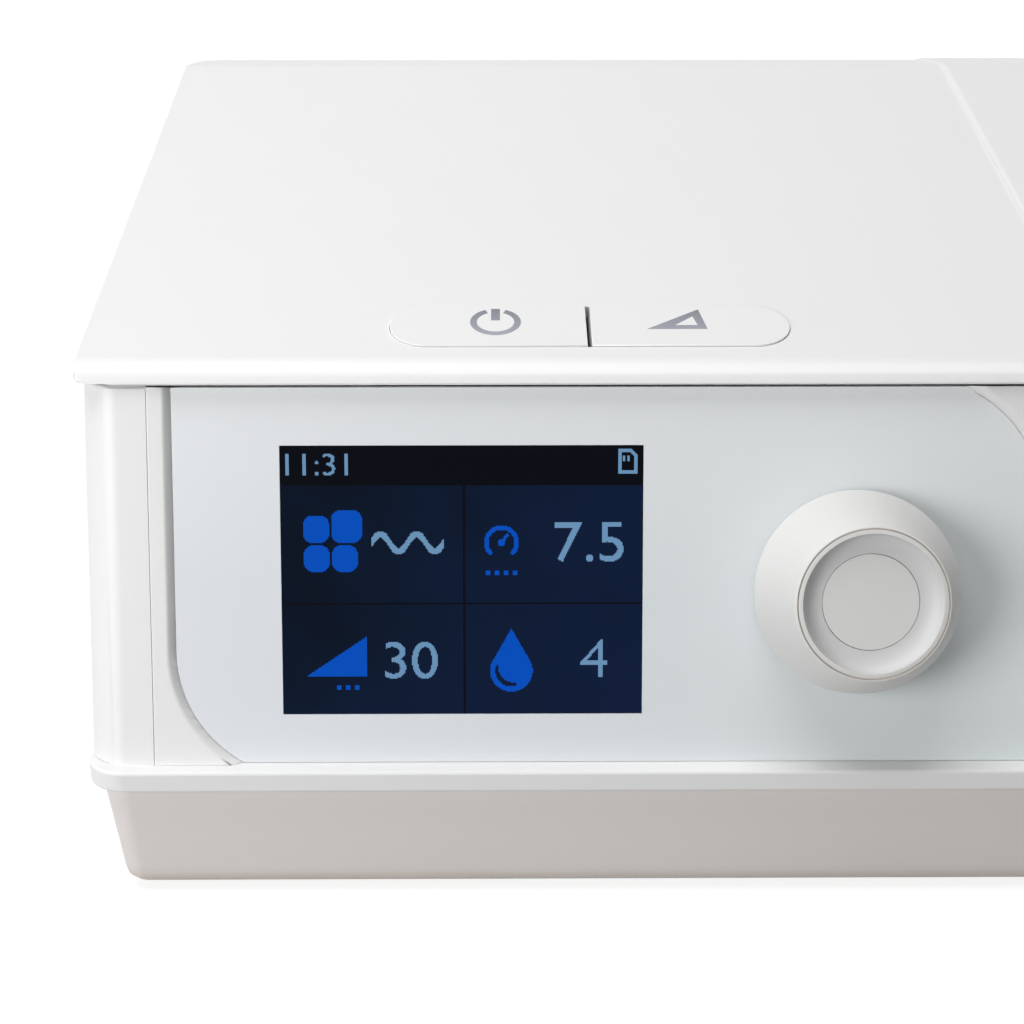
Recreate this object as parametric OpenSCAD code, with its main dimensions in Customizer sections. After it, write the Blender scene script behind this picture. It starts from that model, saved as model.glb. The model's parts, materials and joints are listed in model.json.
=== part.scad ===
// Bedside breathing-therapy machine with a heated water tub, a colour screen,
// a push-and-turn knob and two keys. Millimetres. +X is to the user's right,
// +Y goes from the front to the back and +Z is up from the table.

/* [Case] */
// Width over the two side walls
case_w = 288; // [280:1:310]
// Distance from the screen's middle back to the rear wall
case_back = 143; // [141:1:160]
// Thickness of the case walls
wall = 2.4; // [2:0.1:2.8]
// Angle by which the front leans back
lean = 12; // [11:0.5:13]
// Radius of the case's upright front corners
corner_r = 6.5; // [6:0.5:9]
// Radius of the case's upright rear corners
rear_r = 8; // [5:0.5:11]
// Free gap between bodies that move past each other
gap = 0.3; // [0.25:0.05:0.4]
// Radial clearance of a shaft or pin in its bore
fit = 0.05; // [0.03:0.01:0.08]

/* [Base] */
// Height of the base's top edge above the table
base_h = 24.35; // [23.5:0.05:25]
// Thickness of the flange round the base's top edge
flange_t = 3.6; // [3.2:0.05:4.4]
// How far the flange stands out in front of the front panel
flange_front = 3.5; // [3:0.1:4.5]
// How far the flange stands out past the side and rear walls
flange_side = 0.2; // [0.1:0.1:0.8]
// Inset of the tray's walls just below the flange
tray_inset = 1.8; // [1.2:0.1:2.4]
// Inset of the tray's walls at the floor
tray_inset_low = 4.1; // [3:0.1:5]
// Radius of the tray's lower edge
tray_edge_r = 2.7; // [2:0.1:3.5]
// Height of the rubber feet below the tray
foot_h = 1.5; // [1.2:0.1:2.5]
// Radius of a rubber foot
foot_r = 8; // [6:0.5:10]
// Depth of the pocket that a foot is stuck in
foot_sink = 1; // [0.6:0.1:1.2]
// Distance of a foot's middle from the case's sides
foot_inset = 24; // [20:1:30]

/* [Top cover] */
// Angle at which the top rises to the back
slope = 19.1; // [17.5:0.1:20]
// Length of the sloping part of the top
slope_len = 120.7; // [118:0.1:123]
// Height of the cover's front edge above the screen's middle, along the front
cover_v = 33.88; // [33.5:0.01:35]
// How far the cover stands out in front of the front panel
cover_proud = 2; // [1.6:0.1:2.4]
// Thickness of the cover
cover_t = 2.1; // [1.8:0.1:2.4]
// Radius of the cover's rounded front edge
nose_r = 6; // [5:0.5:7]
// Radius of the cover's rear edge
cover_rear_r = 1.6; // [1:0.1:1.7]
// Radius of the cover's upright front corners
cover_corner_r = 2; // [1.2:0.1:4]
// How far the cover overhangs the side and rear walls
cover_over = 0.4; // [0.3:0.1:0.8]
// Height of the small lip under the cover's edge
lip_h = 0.7; // [0.5:0.1:0.9]
// Inset of that lip from the cover's edge
lip_inset = 1; // [0.8:0.1:1.4]
// Width of the shadow gap between the lip and the walls
seam = 0.5; // [0.4:0.05:0.7]
// Height of the step in the top to the right of the crease
crease_h = 0.4; // [0.3:0.05:0.6]
// Distance of the crease from the screen's middle
crease_u = 100.3; // [95:0.1:108]

/* [Front] */
// Height of the screen's middle above the table
screen_z = 53.3; // [53:0.1:54]
// Distance of the screen's middle from the case's left side
screen_in = 60.6; // [60:0.1:63]
// Width of the screen's picture
screen_w = 57.6; // [55:0.1:60]
// Height of the screen's picture
screen_h = 43.2; // [40:0.1:45]
// Gap round the screen's glass
screen_gap = 0.05; // [0.05:0.05:0.15]
// How far the white frame stands proud of the front panel
frame_proud = 1; // [0.8:0.1:1.2]
// Thickness of the frame behind the front panel
frame_back = 2.5; // [2:0.1:3]
// Distance from the screen's middle left to the frame's seam
seam_u = 49.6; // [48.5:0.1:51]
// Height of the frame above the screen's middle
frame_v = 30.5; // [30:0.1:31]
// Thickness of the front panel
panel_t = 2; // [1.5:0.1:2.5]
// Distance from the screen's middle left to the front panel's edge
panel_left = 45.9; // [45:0.1:47]
// Distance from the screen's middle right to the front panel's edge
panel_right = 92.4; // [88:0.1:96]
// Half the height of the front panel's outline
panel_v = 32.3; // [31.5:0.1:33]
// Radius of the front panel's two round corners
panel_r = 20.8; // [16:0.1:24]
// Width of the bevel round the front panel's pocket
bevel_w = 1.1; // [0.8:0.1:1.4]

/* [Knob] */
// Distance of the knob to the right of the screen's middle
knob_u = 62.5; // [58:0.1:64]
// Distance of the knob below the screen's middle
knob_down = 1.5; // [0:0.1:3]
// Largest radius of the knob
knob_r = 16.2; // [14:0.1:18]
// Radius of the knob's front edge
knob_front_r = 11.83; // [10.5:0.01:13]
// Distance of the knob's front edge in front of the panel
knob_h = 15.2; // [13:0.1:18]
// Distance of the knob's widest place in front of the panel
knob_wide_h = 3; // [2.5:0.1:4]
// Gap between the knob and the panel
knob_gap = 0.9; // [0.8:0.1:1.2]
// Depth of the dish in the knob's front
dish_depth = 2.06; // [1:0.01:3]
// Radius of the flat cap in the dish
cap_r = 7.5; // [6:0.1:8.5]
// Radius of the encoder's shaft
shaft_r = 3; // [2.5:0.1:3.5]
// Travel of the knob when it is pushed
knob_travel = 0.5; // [0.3:0.05:0.6]

/* [Keys] */
// Distance from the screen's middle left to the keys' end
keys_left = 11.6; // [8:0.1:14]
// Distance from the screen's middle right to the keys' end
keys_right = 53; // [48:0.1:58]
// Distance of the line between the keys right of the screen's middle
keys_split = 20.5; // [18:0.1:24]
// Distance of the keys' middle line from the cover's front edge
keys_s = 12.5; // [12:0.1:13.5]
// Width of the keys from front to back
keys_w = 12.2; // [10:0.1:13]
// Gap round each key
key_gap = 0.25; // [0.2:0.05:0.4]
// How far the keys stand proud of the cover
key_proud = 0.3; // [0.2:0.05:0.5]
// Travel of a key
key_travel = 0.8; // [0.4:0.1:0.9]
// Width of the rim that holds a key under the cover
key_rim = 1; // [0.6:0.1:1.2]

/* [Water tub] */
// Width of the tub at the right of the case
tub_w = 95.7; // [90:0.1:97]
// Height above the table at which the tub's lid begins
tub_split = 80; // [79:0.1:81]
// Free space between the tub and the case beside it
dock_gap = 1.5; // [1.3:0.1:1.8]
// Thickness of the tub's walls
tub_wall = 2.4; // [2:0.1:2.8]
// Thickness of the tub's floor
tub_floor = 2.6; // [2.4:0.1:3]
// Height of the guide rails on the base
rail_h = 2; // [1.5:0.1:2.2]
// Width of a guide rail
rail_w = 3; // [2:0.1:4]
// Length of the finger recess in the tub's side
grip_l = 60; // [50:1:70]
// Height of the finger recess
grip_h = 18; // [14:1:20]
// Depth of the finger recess
grip_d = 9; // [7:0.5:10]
// Radius of the tub hinge's knuckles
knuckle_r = 2.8; // [2.4:0.1:3.2]
// Radius of the tub hinge's pins
hinge_pin_r = 1.2; // [1:0.1:1.4]
// Length of one knuckle
knuckle_l = 9; // [7:0.5:12]

/* [Heater] */
// Radius of the heated plate
plate_r = 34; // [28:0.5:36]
// Width of the rim that holds the plate under the deck
plate_rim = 2.5; // [2:0.1:3]
// Radius of a spring under the plate
spring_r = 3.5; // [3:0.1:4]

/* [Air path] */
// Radius of the air ducts' bore
duct_r = 8; // [7:0.1:8.4]
// Thickness of the air ducts' wall
duct_t = 2; // [1.5:0.1:2.2]
// Height of the air ducts' middle above the table
duct_z = 69; // [68.5:0.5:69]
// Distance of the return duct behind the screen's middle
return_y = 106; // [103:1:108]
// Bend radius of the return duct's middle line
bend_r = 18; // [15:0.5:20]
// Distance of the air outlet and the power inlet to the left of the tub dock
outlet_in = 24.4; // [22:0.1:26]
// Outer radius of the air outlet, for a 22 mm hose cuff
outlet_r = 11; // [10:0.5:12]
// Length of the air outlet's round wall
outlet_l = 18; // [15:0.5:22]
// Thickness of the air outlet's wall flange
outlet_flange_t = 2; // [1.5:0.1:3]
// Thickness of the rubber rings on the tub dock
seal_t = 1.2; // [1:0.1:1.2]

/* [Blower] */
// Distance of the blower's middle from the case's left side
blower_in = 67; // [65:0.5:69]
// Distance of the blower behind the screen's middle
blower_y = 92; // [90:0.5:93]
// Outer radius of the blower's scroll
scroll_r = 36; // [33:0.5:38]
// Height of the blower's scroll
scroll_h = 20; // [20:0.5:21]
// Thickness of the blower's housing
scroll_t = 2; // [1.5:0.1:2.2]
// Radius of the motor's sleeve
motor_r = 17; // [15:0.5:19]
// Height of the motor above the scroll
motor_h = 13; // [12:0.5:13.5]
// Radius of the impeller
impeller_r = 26; // [22:0.5:28]
// Number of blades on the impeller
blade_count = 11; // [7:1:13]
// Radius of the motor's shaft
rotor_shaft_r = 1.5; // [1.2:0.1:2]
// Thickness of the muffler box's walls
box_t = 2; // [1.5:0.1:2.4]

/* [Rear and side] */
// Width of the air filter
filter_w = 48; // [40:1:52]
// Height of the air filter
filter_h = 34; // [30:1:36]
// Thickness of the air filter
filter_t = 2.4; // [2:0.1:2.4]
// Thickness of the filter's cover
filter_cover_t = 2; // [1.8:0.1:2.2]
// Number of slots in the filter's cover
slot_count = 6; // [4:1:7]
// Length of the memory card
card_l = 32; // [30:0.5:34]
// Width of the memory card
card_w = 24; // [22:0.5:25]
// Thickness of the memory card
card_t = 2.1; // [1.8:0.1:2.3]
// Height of the memory card's middle above the table
card_z = 35; // [34:0.5:38]
// Distance of the memory card's middle behind the screen's middle
card_y = 30; // [30:0.5:31]
// Height of the power inlet above the table
inlet_z = 38; // [36:0.5:42]

/* [Hidden] */
$fn = 64;
over = 1;
hair = 0.01;

// Places along the width
side_x = case_w / 2;
screen_x = -side_x + screen_in;
tub_x = side_x - tub_w;
dock_x = tub_x - dock_gap;
dock_in = dock_x - wall;
cover_x = tub_x - 2 * gap;
crease_x = screen_x + crease_u;
outlet_x = dock_in - outlet_in;
inlet_x = outlet_x;

// Points of the side view, as [distance behind the screen's middle, height]
function front_pt(v, n) =
  [v * sin(lean) - n * cos(lean), screen_z + v * cos(lean) + n * sin(lean)];
function front_at(z, n) = front_pt((z - screen_z - n * sin(lean)) / cos(lean), n);
function arc(c, r, a0, a1, steps) =
  [for (i = [0:steps]) c + r * [cos(a0 + (a1 - a0) * i / steps), sin(a0 + (a1 - a0) * i / steps)]];
function top_z(y, drop) = cover_pt[1] + (y - cover_pt[0]) * tan(slope) - drop / cos(slope);
cover_pt = front_pt(cover_v, cover_proud);
uphill = [cos(slope), sin(slope)];
downward = [sin(slope), -cos(slope)];
ridge_pt = cover_pt + slope_len * uphill;
flange_y = front_at(base_h, 0)[0] - flange_front;
panel_back = -panel_t;
frame_n = panel_back - frame_back;

// The machine stands with its origin under the middle of its outline
knob_lip = 0.22;
groove_d = 0.25;
knob_lip_h = knob_h + groove_d / 4;
knob_edge_y = front_pt(-knob_down - knob_front_r + knob_lip, knob_lip_h)[0];
outlet_end_y = case_back + outlet_flange_t + outlet_l;
shift_y = -(knob_edge_y + outlet_end_y) / 2;

// Base
floor_z = foot_h + wall;
deck_z = base_h - wall;
bite = 0.2;
tray_r_share = 0.7;
post_r = 4;
post_front = 5;
post_front_right = 19;
post_y = case_back - 11;
post_in = 11;
posts = [[-side_x + post_in, post_front], [-side_x + post_in, post_y],
         [dock_in - post_r + bite, post_front_right], [dock_in - post_r + bite, post_y]];
boss_t = 1;
screw_r = 1.5;
screw_head_r = 3;
screw_head_t = 2.2;
screw_sink = 8;
screw_in = 1.5;
screw_l = base_h + screw_in;
socket_share = 0.7;
screw_bore = 12;
board_up = 5.1;
board_z = floor_z + board_up;
board_t = 1.6;
board_top = board_z + board_t;
standoff_r = 3;
board_left = 28;
board_right = 14;
board_x = [-side_x + board_left, dock_in - board_right];
board_y = [14, 110];
board_inset = 5;
chip_w = 16;
driver_w = 10;
driver_l = 12;
tank_r = 5;
tank_step = 12;
tank_share = 0.7;
plug_w = 12;
plug_t = 5;
plug_in = 34;
sounder_h = 5;
sounder_r = 6;
sounder_hole_r = 1;
standoffs = [for (x = [board_x[0] + board_inset, board_x[1] - board_inset])
             for (y = [board_y[0] + board_inset, board_y[1] - board_inset]) [x, y]];
tub_mid = [(tub_x + side_x) / 2, (front_at(base_h, 0)[0] + case_back) / 2];
rail_front = 14;
rail_back = 16;
rail_y = [rail_front, case_back - rail_back];
rail_end = 6;
chassis_in = 9;
chassis_t = 1.2;
chassis_y = [post_front + post_r + boss_t + gap, post_y - post_r - boss_t - gap];
deck_x = dock_in + bite + boss_t + gap;
deck_leg_r = 4;
deck_leg_in = 15;
deck_legs = [for (x = [deck_x + deck_leg_in, side_x - deck_leg_in])
             for (y = [chassis_y[0] + deck_leg_in, chassis_y[1] - deck_leg_in]) [x, y]];

// Muffler box and blower
blower_x = -side_x + blower_in;
box_room = 15;
box_ahead = 10;
box_front = blower_y - scroll_r - box_ahead;
box_x = [blower_x - scroll_r - box_room, blower_x + scroll_r + box_room];
box_y = [box_front, case_back - wall - filter_t - bite];
box_up = 2.65;
box_down = 1.2;
box_z = [base_h + box_up, top_z(box_front, cover_t) - box_down];
box_lid_t = 2;
box_foot_in = 8;
box_feet = [for (x = [box_x[0] + box_foot_in, box_x[1] - box_foot_in])
            for (y = [box_y[0] + box_foot_in, box_y[1] - box_foot_in]) [x, y]];
scroll_z = duct_z - scroll_h / 2;
scroll_out_y = blower_y - scroll_r + duct_r + duct_t;
duct_x = box_x[1] + 2;
mount_h = 8;
mount_r = 5;
mount_ring = 28;
mounts = [for (a = [30, 150, 270]) [blower_x, blower_y] + mount_ring * [cos(a), sin(a)]];
mount_post_r = 3.5;
foam_h = 13;
intake_r = 12;
bearing_r = 5;
bearing_t = 3;
hub_r = 7;
stator_t = 6;
stator_bore = 9;
magnet_r = 7;
magnet_t = 6;
bearing_low = scroll_z + scroll_h - bearing_t + 0.5;
motor_top = scroll_z + scroll_h + motor_h;
bearing_high = motor_top - scroll_t - bearing_t;
stator_up = 0.6;
stator_z = scroll_z + scroll_h + stator_up;
blade_low = scroll_z + scroll_t + 1;
blade_room = 7;
blade_h = scroll_h - 2 * scroll_t - blade_room;
blade_disc_t = 1.5;
blade_t = 1.2;
blade_l = 15;
blade_sweep = 35;
hub_top = bearing_low - 1;
boot_l = 9.8;
boot_t = 2;
lead_w = 6;
lead_t = 1.6;
lead_z = stator_z + stator_t;
lead_ahead = 1.3;
lead_y = box_y[0] - lead_ahead;
sensor_w = 16;
sensor_l = 20;
sensor_h = 10;
sensor_x = (box_x[1] + boot_l + dock_in - sensor_l) / 2;

// Rear and side
filter_out = 8;
filter_x = blower_x - scroll_r + filter_w / 2 - filter_out;
filter_z = (box_z[0] + box_z[1]) / 2;
filter_rim = 3;
filter_seat = 2;
cover_w = filter_w + 2 * filter_rim;
cover_low = filter_z - filter_h / 2 - filter_rim;
cover_high = filter_z + filter_h / 2 + filter_rim;
barrel_r = 1.4;
filter_pin_r = 0.9;
filter_pin_l = 2;
filter_axis = [case_back - barrel_r, cover_low + barrel_r];
slot_h = 2.4;
card_flush = 0.6;
card_x = -side_x + card_flush;
card_play = 0.15;
scoop_d = 1.2;
scoop_h = 8;
socket_t = 4;
socket_side = 2;
card_board_in = 3;
card_post_in = 12;
card_post_gap = 13;
card_post_y = 10;
card_posts = [for (x = [card_post_in, card_post_in + card_post_gap]) for (y = [-card_post_y, card_post_y])
              [-side_x + x, card_y + y]];
socket_past = 1.5;
card_cut = 4;
inlet_r = 2.75;
inlet_pin_r = 1;
inlet_body = 13;
inlet_depth = 9;
inlet_rim_r = 5.5;
inlet_rim_out = 0.4;

// Front
encoder_w = 13;
encoder_back = 6.2;
encoder_n = panel_back - encoder_back;
board_n = encoder_n;
board_back_n = board_n - board_t;
bushing_r = shaft_r + 0.5;
bushing_n = 0.3;
slider_up = 1.4;
slider_base = encoder_n + slider_up;
slider_side = 1.6;
slider_r = shaft_r + slider_side;
slider_t = 1.2;
slider_room = knob_travel + bite;
pcb_u = [-42, 84];
pcb_v = [-26, 20];
module_side = 5.8;
module_end = 3.4;
module_w = screen_w + 2 * module_side;
module_h = screen_h + 2 * module_end;
module_n = panel_back - module_end;
leg_u = [-30, 30];
leg_v = [-16, 14];
module_legs = [for (u = leg_u) for (v = leg_v) [u, v]];
pcb_in = 4;
pcb_down = 5;
pcb_screws = [for (u = [pcb_u[0] + pcb_in, pcb_u[1] - pcb_in])
              for (v = [pcb_v[0] + pcb_in, pcb_v[1] - pcb_down]) [u, v]];
boss_r = 2.6;
board_screw_r = 1.2;
board_screw_l = 4.4;
board_head_r = 2.2;
board_head_t = 1.5;
knob_wall = 2;
shaft_top = knob_h - dish_depth - knob_wall - bite / 2;
knob_hub_r = shaft_r + 2;
knob_rim = 0.67;
groove_w = 0.2;
ledge_w = 5;
ledge_t = 2.5;
ledge_n = frame_n - ledge_t;

// Keys
key_x = [screen_x - keys_left, screen_x + keys_split, screen_x + keys_right];
stems = [(key_x[0] + key_x[1]) / 2, (key_x[1] + key_x[2]) / 2];
key_deep = 1.4;
key_low = -cover_t - key_deep;
rim_n = -cover_t - gap;
stem_r = 2;
stem_l = 3.9;
stem_n = key_low - stem_l;
plunger_r = 1.75;
plunger_l = 2.2;
switch_w = 6.2;
switch_h = 3.6;
switch_down = 4.8;
switch_n = stem_n - switch_down;
keyboard_side = 8;
keyboard_low = 5.5;
keyboard_high = 13;
keyboard_x = [key_x[0] - keyboard_side, key_x[2] + keyboard_side];
keyboard_s = [keys_s - keyboard_low, keys_s + keyboard_high];
boss_in = 3.5;
boss_up = 10;
key_bosses = [[keyboard_x[0] + boss_in, keys_s], [keyboard_x[1] - boss_in, keys_s],
              [key_x[1], keys_s + boss_up]];
key_boss_r = 2.4;
strip_t = 0.8;
strip_w = 24;
key_strip_w = 12;
strip_in = 8;
strip_end = 3;
strip_flat = 4;
strip_bow = 1.5;

// Tub
tub_z = base_h + 2 * gap;
lid_z = tub_split + gap;
hinge_pt = [case_back + gap, tub_split + gap / 2];
knuckle_in = 18;
lid_knuckles = [tub_x + knuckle_in, side_x - knuckle_in - 2 * knuckle_l - gap];
grip_down = 14;
grip_z = tub_split - grip_down - grip_h;
guide_t = 1;
guide_l = 20;
flange_in = 3.6;
flange_h = 1.5;
lid_seal_w = 2;
lid_seal_h = 1.7;
tab_w = 30;
tab_out = 1.2;
tub_plate_r = plate_r - 2;
tub_plate_rim = 4;
tub_plate_t = 1.2;
dock_air_y = [scroll_out_y, return_y];
seal_w = 3.5;

// Heater
plate_z = base_h + gap;
plate_rim_t = 2;
plate_low = deck_z - gap - plate_rim_t;
spring_t = 1;
spring_low = 12;
spring_in = 8;
spring_ring = plate_r - spring_in;
spring_places = [for (a = [90, 210, 330]) tub_mid + spring_ring * [cos(a), sin(a)]];
element_in = 14;
element_r = plate_r - element_in;
element_t = 1.5;

// Moves from the drawing's frame, with the screen's middle at y = 0, to the machine's own
module placed() {
  translate([0, shift_y, 0]) children();
}

// Frame on the front panel: x to the right, y up the panel, z out of it
module on_front(u = 0, v = 0, n = 0) {
  translate([screen_x, 0, screen_z]) rotate([90 - lean, 0, 0]) translate([u, v, n]) children();
}

// Frame on the top: x as the machine's, y up the slope, z out of it
module on_top(x = 0, s = 0, n = 0) {
  translate([0, cover_pt[0], cover_pt[1]]) rotate([slope, 0, 0]) translate([x, s, n]) children();
}

// A block between two corners
module block(low, high) {
  translate(low) cube(high - low);
}

// A side-view outline, drawn out from x0 to x1
module side_extrude(x0, x1, points) {
  translate([x0, 0, 0]) rotate([90, 0, 90]) linear_extrude(x1 - x0) polygon(points);
}

// A round bar along X
module bar_x(x0, x1, y, z, r) {
  translate([x0, y, z]) rotate([0, 90, 0]) cylinder(h = x1 - x0, r = r);
}

// A round bar along Y
module bar_y(y0, y1, x, z, r) {
  translate([x, y0, z]) rotate([-90, 0, 0]) cylinder(h = y1 - y0, r = r);
}

// A rectangle with its own radius at each corner: front left, front right, rear right, rear left
module plan(x0, x1, y0, y1, r) {
  polygon([[x0 + r[0], y0], [x1 - r[1], y0], [x1, y0 + r[1]], [x1, y1 - r[2]],
           [x1 - r[2], y1], [x0 + r[3], y1], [x0, y1 - r[3]], [x0, y0 + r[0]]]);
  if (r[0] > 0) translate([x0 + r[0], y0 + r[0]]) circle(r[0]);
  if (r[1] > 0) translate([x1 - r[1], y0 + r[1]]) circle(r[1]);
  if (r[2] > 0) translate([x1 - r[2], y1 - r[2]]) circle(r[2]);
  if (r[3] > 0) translate([x0 + r[3], y1 - r[3]]) circle(r[3]);
}

// A solid between x0 and x1 with a side-view outline, whose outer corners are rounded:
// the front ones follow the leaning front at distance n, the rear ones stand upright
module rounded_case(x0, x1, points, n, y1, front_left, front_right, rear_right, rear_left) {
  intersection() {
    side_extrude(x0, x1, points);
    translate([0, 0, screen_z]) rotate([-lean, 0, 0]) translate([0, 0, -2 * screen_z])
      linear_extrude(5 * screen_z)
        plan(x0, x1, -n, 2 * case_back, [front_left, front_right, 0, 0]);
    linear_extrude(3 * screen_z)
      plan(x0, x1, -case_back, y1, [0, 0, rear_right, rear_left]);
  }
}

// Height along the front at which a plane under the cover, lowered by drop, meets distance n
function under_v(n, drop) =
  cover_v - drop / cos(slope + lean) + (cover_proud - n) * tan(slope + lean);

// Distance behind the screen at which that plane meets the flat rear part, lowered alike
function under_y(drop) = cover_pt[0] + (ridge_pt[1] - drop - cover_pt[1] + drop / cos(slope)) / tan(slope);

// Side view of a cover whose top is raised by lift
function cover_outline(lift) =
  let (corner = front_pt(cover_v + lift / cos(slope + lean), cover_proud),
       run = nose_r / tan((90 + slope + lean) / 2),
       nose_from = 90 + slope + acos(1 - (cover_t + lift) / nose_r),
       high = ridge_pt[1] + lift,
       ridge = corner + (high - corner[1]) / sin(slope) * uphill,
       rear = case_back + cover_over)
  concat(arc(corner + run * uphill + nose_r * downward, nose_r, nose_from, 90 + slope, 8),
         arc(ridge - cover_rear_r * tan(slope / 2) * uphill + cover_rear_r * downward,
             cover_rear_r, 90 + slope, 90, 3),
         arc([rear - cover_rear_r, high - cover_rear_r], cover_rear_r, 90, 0, 6),
         [[rear, ridge_pt[1] - cover_t], [under_y(cover_t), ridge_pt[1] - cover_t]]);

// Side view of walls whose front face is at distance n, from height low up to a plane
// that lies drop below the cover's top
function wall_outline(n, low, drop, rear) =
  [front_at(low, n), front_pt(under_v(n, drop), n), [under_y(drop), ridge_pt[1] - drop],
   [rear, ridge_pt[1] - drop], [rear, low]];

// Side view of a layer under the cover between two depths, from distance n to the rear
function layer_outline(n, rear, high, low) =
  [front_pt(under_v(n, low), n), front_pt(under_v(n, high), n), [under_y(high), ridge_pt[1] - high],
   [rear, ridge_pt[1] - high], [rear, ridge_pt[1] - low], [under_y(low), ridge_pt[1] - low]];

// One edge of a strip that follows points of the side view, at distance d from them
function unit(p) = p / norm(p);
function strip_edge(points, d) =
  let (last = len(points) - 1,
       steps = [for (i = [1:last]) unit(points[i] - points[i - 1])])
  [for (i = [0:last])
     let (a = steps[max(i - 1, 0)], b = steps[min(i, last - 1)])
     points[i] + d / (1 + a * b) * [-a[1] - b[1], a[0] + b[0]]];

// A flat strip from x0 to x1 with thickness t, along points of the side view
module strip(x0, x1, points, t) {
  left = strip_edge(points, t / 2);
  right = strip_edge(points, -t / 2);
  side_extrude(x0, x1, concat(left, [for (i = [len(right) - 1:-1:0]) right[i]]));
}

// A tube along Z
module tube(h, r, bore) {
  difference() {
    cylinder(h = h, r = r);
    translate([0, 0, -over]) cylinder(h = h + 2 * over, r = bore);
  }
}

// A tube along X
module tube_x(x0, x1, y, z, r, bore) {
  translate([x0, y, z]) rotate([0, 90, 0]) tube(x1 - x0, r, bore);
}

// One level of the tray: its plan at a given inset from the flange
module tray_level(z, inset) {
  translate([0, 0, z]) linear_extrude(hair)
    plan(-side_x - flange_side + inset, side_x + flange_side - inset, flange_y + inset,
         case_back + flange_side - inset,
         [for (r = [corner_r, corner_r, rear_r, rear_r]) r + flange_side - inset * tray_r_share]);
}

// The tray's body: drafted walls and a rounded lower edge, inset by a further distance
module tray_body(inset, low, high) {
  hull($fn = 32) {
    tray_level(high - hair, tray_inset + inset);
    for (a = [0:30:90])
      tray_level(low + tray_edge_r * (1 - sin(a)), tray_inset_low + inset + tray_edge_r * (1 - cos(a)));
  }
}

module bottom_case() {
  color([0.87, 0.85, 0.83]) placed() {
    difference() {
      union() {
        tray_body(0, foot_h, base_h - flange_t);
        translate([0, 0, base_h - flange_t]) linear_extrude(flange_t)
          plan(-side_x - flange_side, side_x + flange_side, flange_y, case_back + flange_side,
               [for (r = [corner_r, corner_r, rear_r, rear_r]) r + flange_side]);
      }
      tray_body(wall, floor_z, base_h + over);
      for (x = [-1, 1], y = [flange_y + foot_inset, case_back - foot_inset])
        translate([x * (side_x - foot_inset), y, 0]) cylinder(h = foot_h + foot_sink, r = foot_r);
      screw_holes();
    }
    difference() {
      intersection() {
        tray_body(wall / 2, foot_h, base_h);
        for (p = posts) translate([p[0], p[1], floor_z - bite]) cylinder(h = base_h, r = post_r + boss_t);
      }
      screw_holes();
    }
  }
}

// Floor plate with the posts that carry the main board, the card board, the muffler box,
// the heater's springs and the tub's deck
module inner_chassis() {
  top = floor_z + chassis_t - bite;
  color([0.55, 0.57, 0.6]) placed() difference() {
    union() {
      block([-side_x + chassis_in, chassis_y[0], floor_z],
            [side_x - chassis_in, chassis_y[1], floor_z + chassis_t]);
      for (p = standoffs) translate([p[0], p[1], top]) cylinder(h = board_z - top, r = standoff_r);
      for (p = box_feet) translate([p[0], p[1], floor_z]) cylinder(h = box_z[0] - floor_z, r = post_r);
      for (p = card_posts) translate([p[0], p[1], top])
        cylinder(h = card_z - socket_t / 2 - board_t - top, r = standoff_r);
      for (p = spring_places) translate([p[0], p[1], top])
        cylinder(h = spring_low - top, r = spring_r + boss_t);
      for (p = deck_legs) translate([p[0], p[1], top]) cylinder(h = deck_z - top, r = deck_leg_r);
    }
    for (p = posts) translate([p[0], p[1], 0]) cylinder(h = base_h, r = post_r + boss_t + gap);
    for (p = standoffs) translate([p[0], p[1], floor_z - over])
      cylinder(h = board_z, r = board_screw_r + fit);
  }
}

// Deck under the tub, with its two rails and the hole that the heater's plate stands in
module dock_deck() {
  color([0.87, 0.85, 0.83]) placed() {
    difference() {
      intersection() {
        tray_body(wall + gap, foot_h, base_h);
        block([deck_x, flange_y, deck_z], [side_x + flange_side, 2 * case_back, base_h]);
      }
      translate([tub_mid[0], tub_mid[1], deck_z - over]) cylinder(h = base_h, r = plate_r + gap);
    }
    for (y = rail_y)
      block([tub_x + rail_end, y - rail_w / 2, base_h - bite],
            [side_x - rail_end, y + rail_w / 2, base_h + rail_h]);
  }
}

// The holes that the case screws go up through
module screw_holes() {
  for (p = posts) translate([p[0], p[1], 0]) {
    cylinder(h = foot_h + screw_sink, r = screw_head_r + gap);
    cylinder(h = base_h + over, r = screw_r + fit);
  }
}

module rubber_feet() {
  color([0.25, 0.25, 0.26]) placed()
    for (x = [-1, 1], y = [flange_y + foot_inset, case_back - foot_inset])
      translate([x * (side_x - foot_inset), y, 0]) cylinder(h = foot_h + foot_sink, r = foot_r - fit);
}

module case_screws() {
  color([0.6, 0.6, 0.62]) placed()
    for (p = posts) translate([p[0], p[1], foot_h + screw_sink - screw_head_t]) difference() {
      union() {
        cylinder(h = screw_head_t, r = screw_head_r);
        cylinder(h = screw_l, r = screw_r);
      }
      translate([0, 0, -over]) cylinder(h = over + screw_head_t / 2, r = screw_r * socket_share, $fn = 6);
    }
}

// The main unit's outer block, from its front frame to the rear wall
module housing_block(low, drop) {
  rounded_case(-side_x, dock_x, wall_outline(frame_proud, low, drop, case_back),
               frame_proud, case_back, corner_r, 0, 0, rear_r);
}

// A screw post of the housing, with a web to the nearer side wall
module housing_post(p) {
  translate([p[0], p[1], base_h]) cylinder(h = 3 * screen_z, r = post_r);
  if (p[0] < -side_x / 2)
    block([-side_x + wall / 2, p[1] - wall / 2, base_h], [p[0], p[1] + wall / 2, 3 * screen_z]);
}

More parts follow.
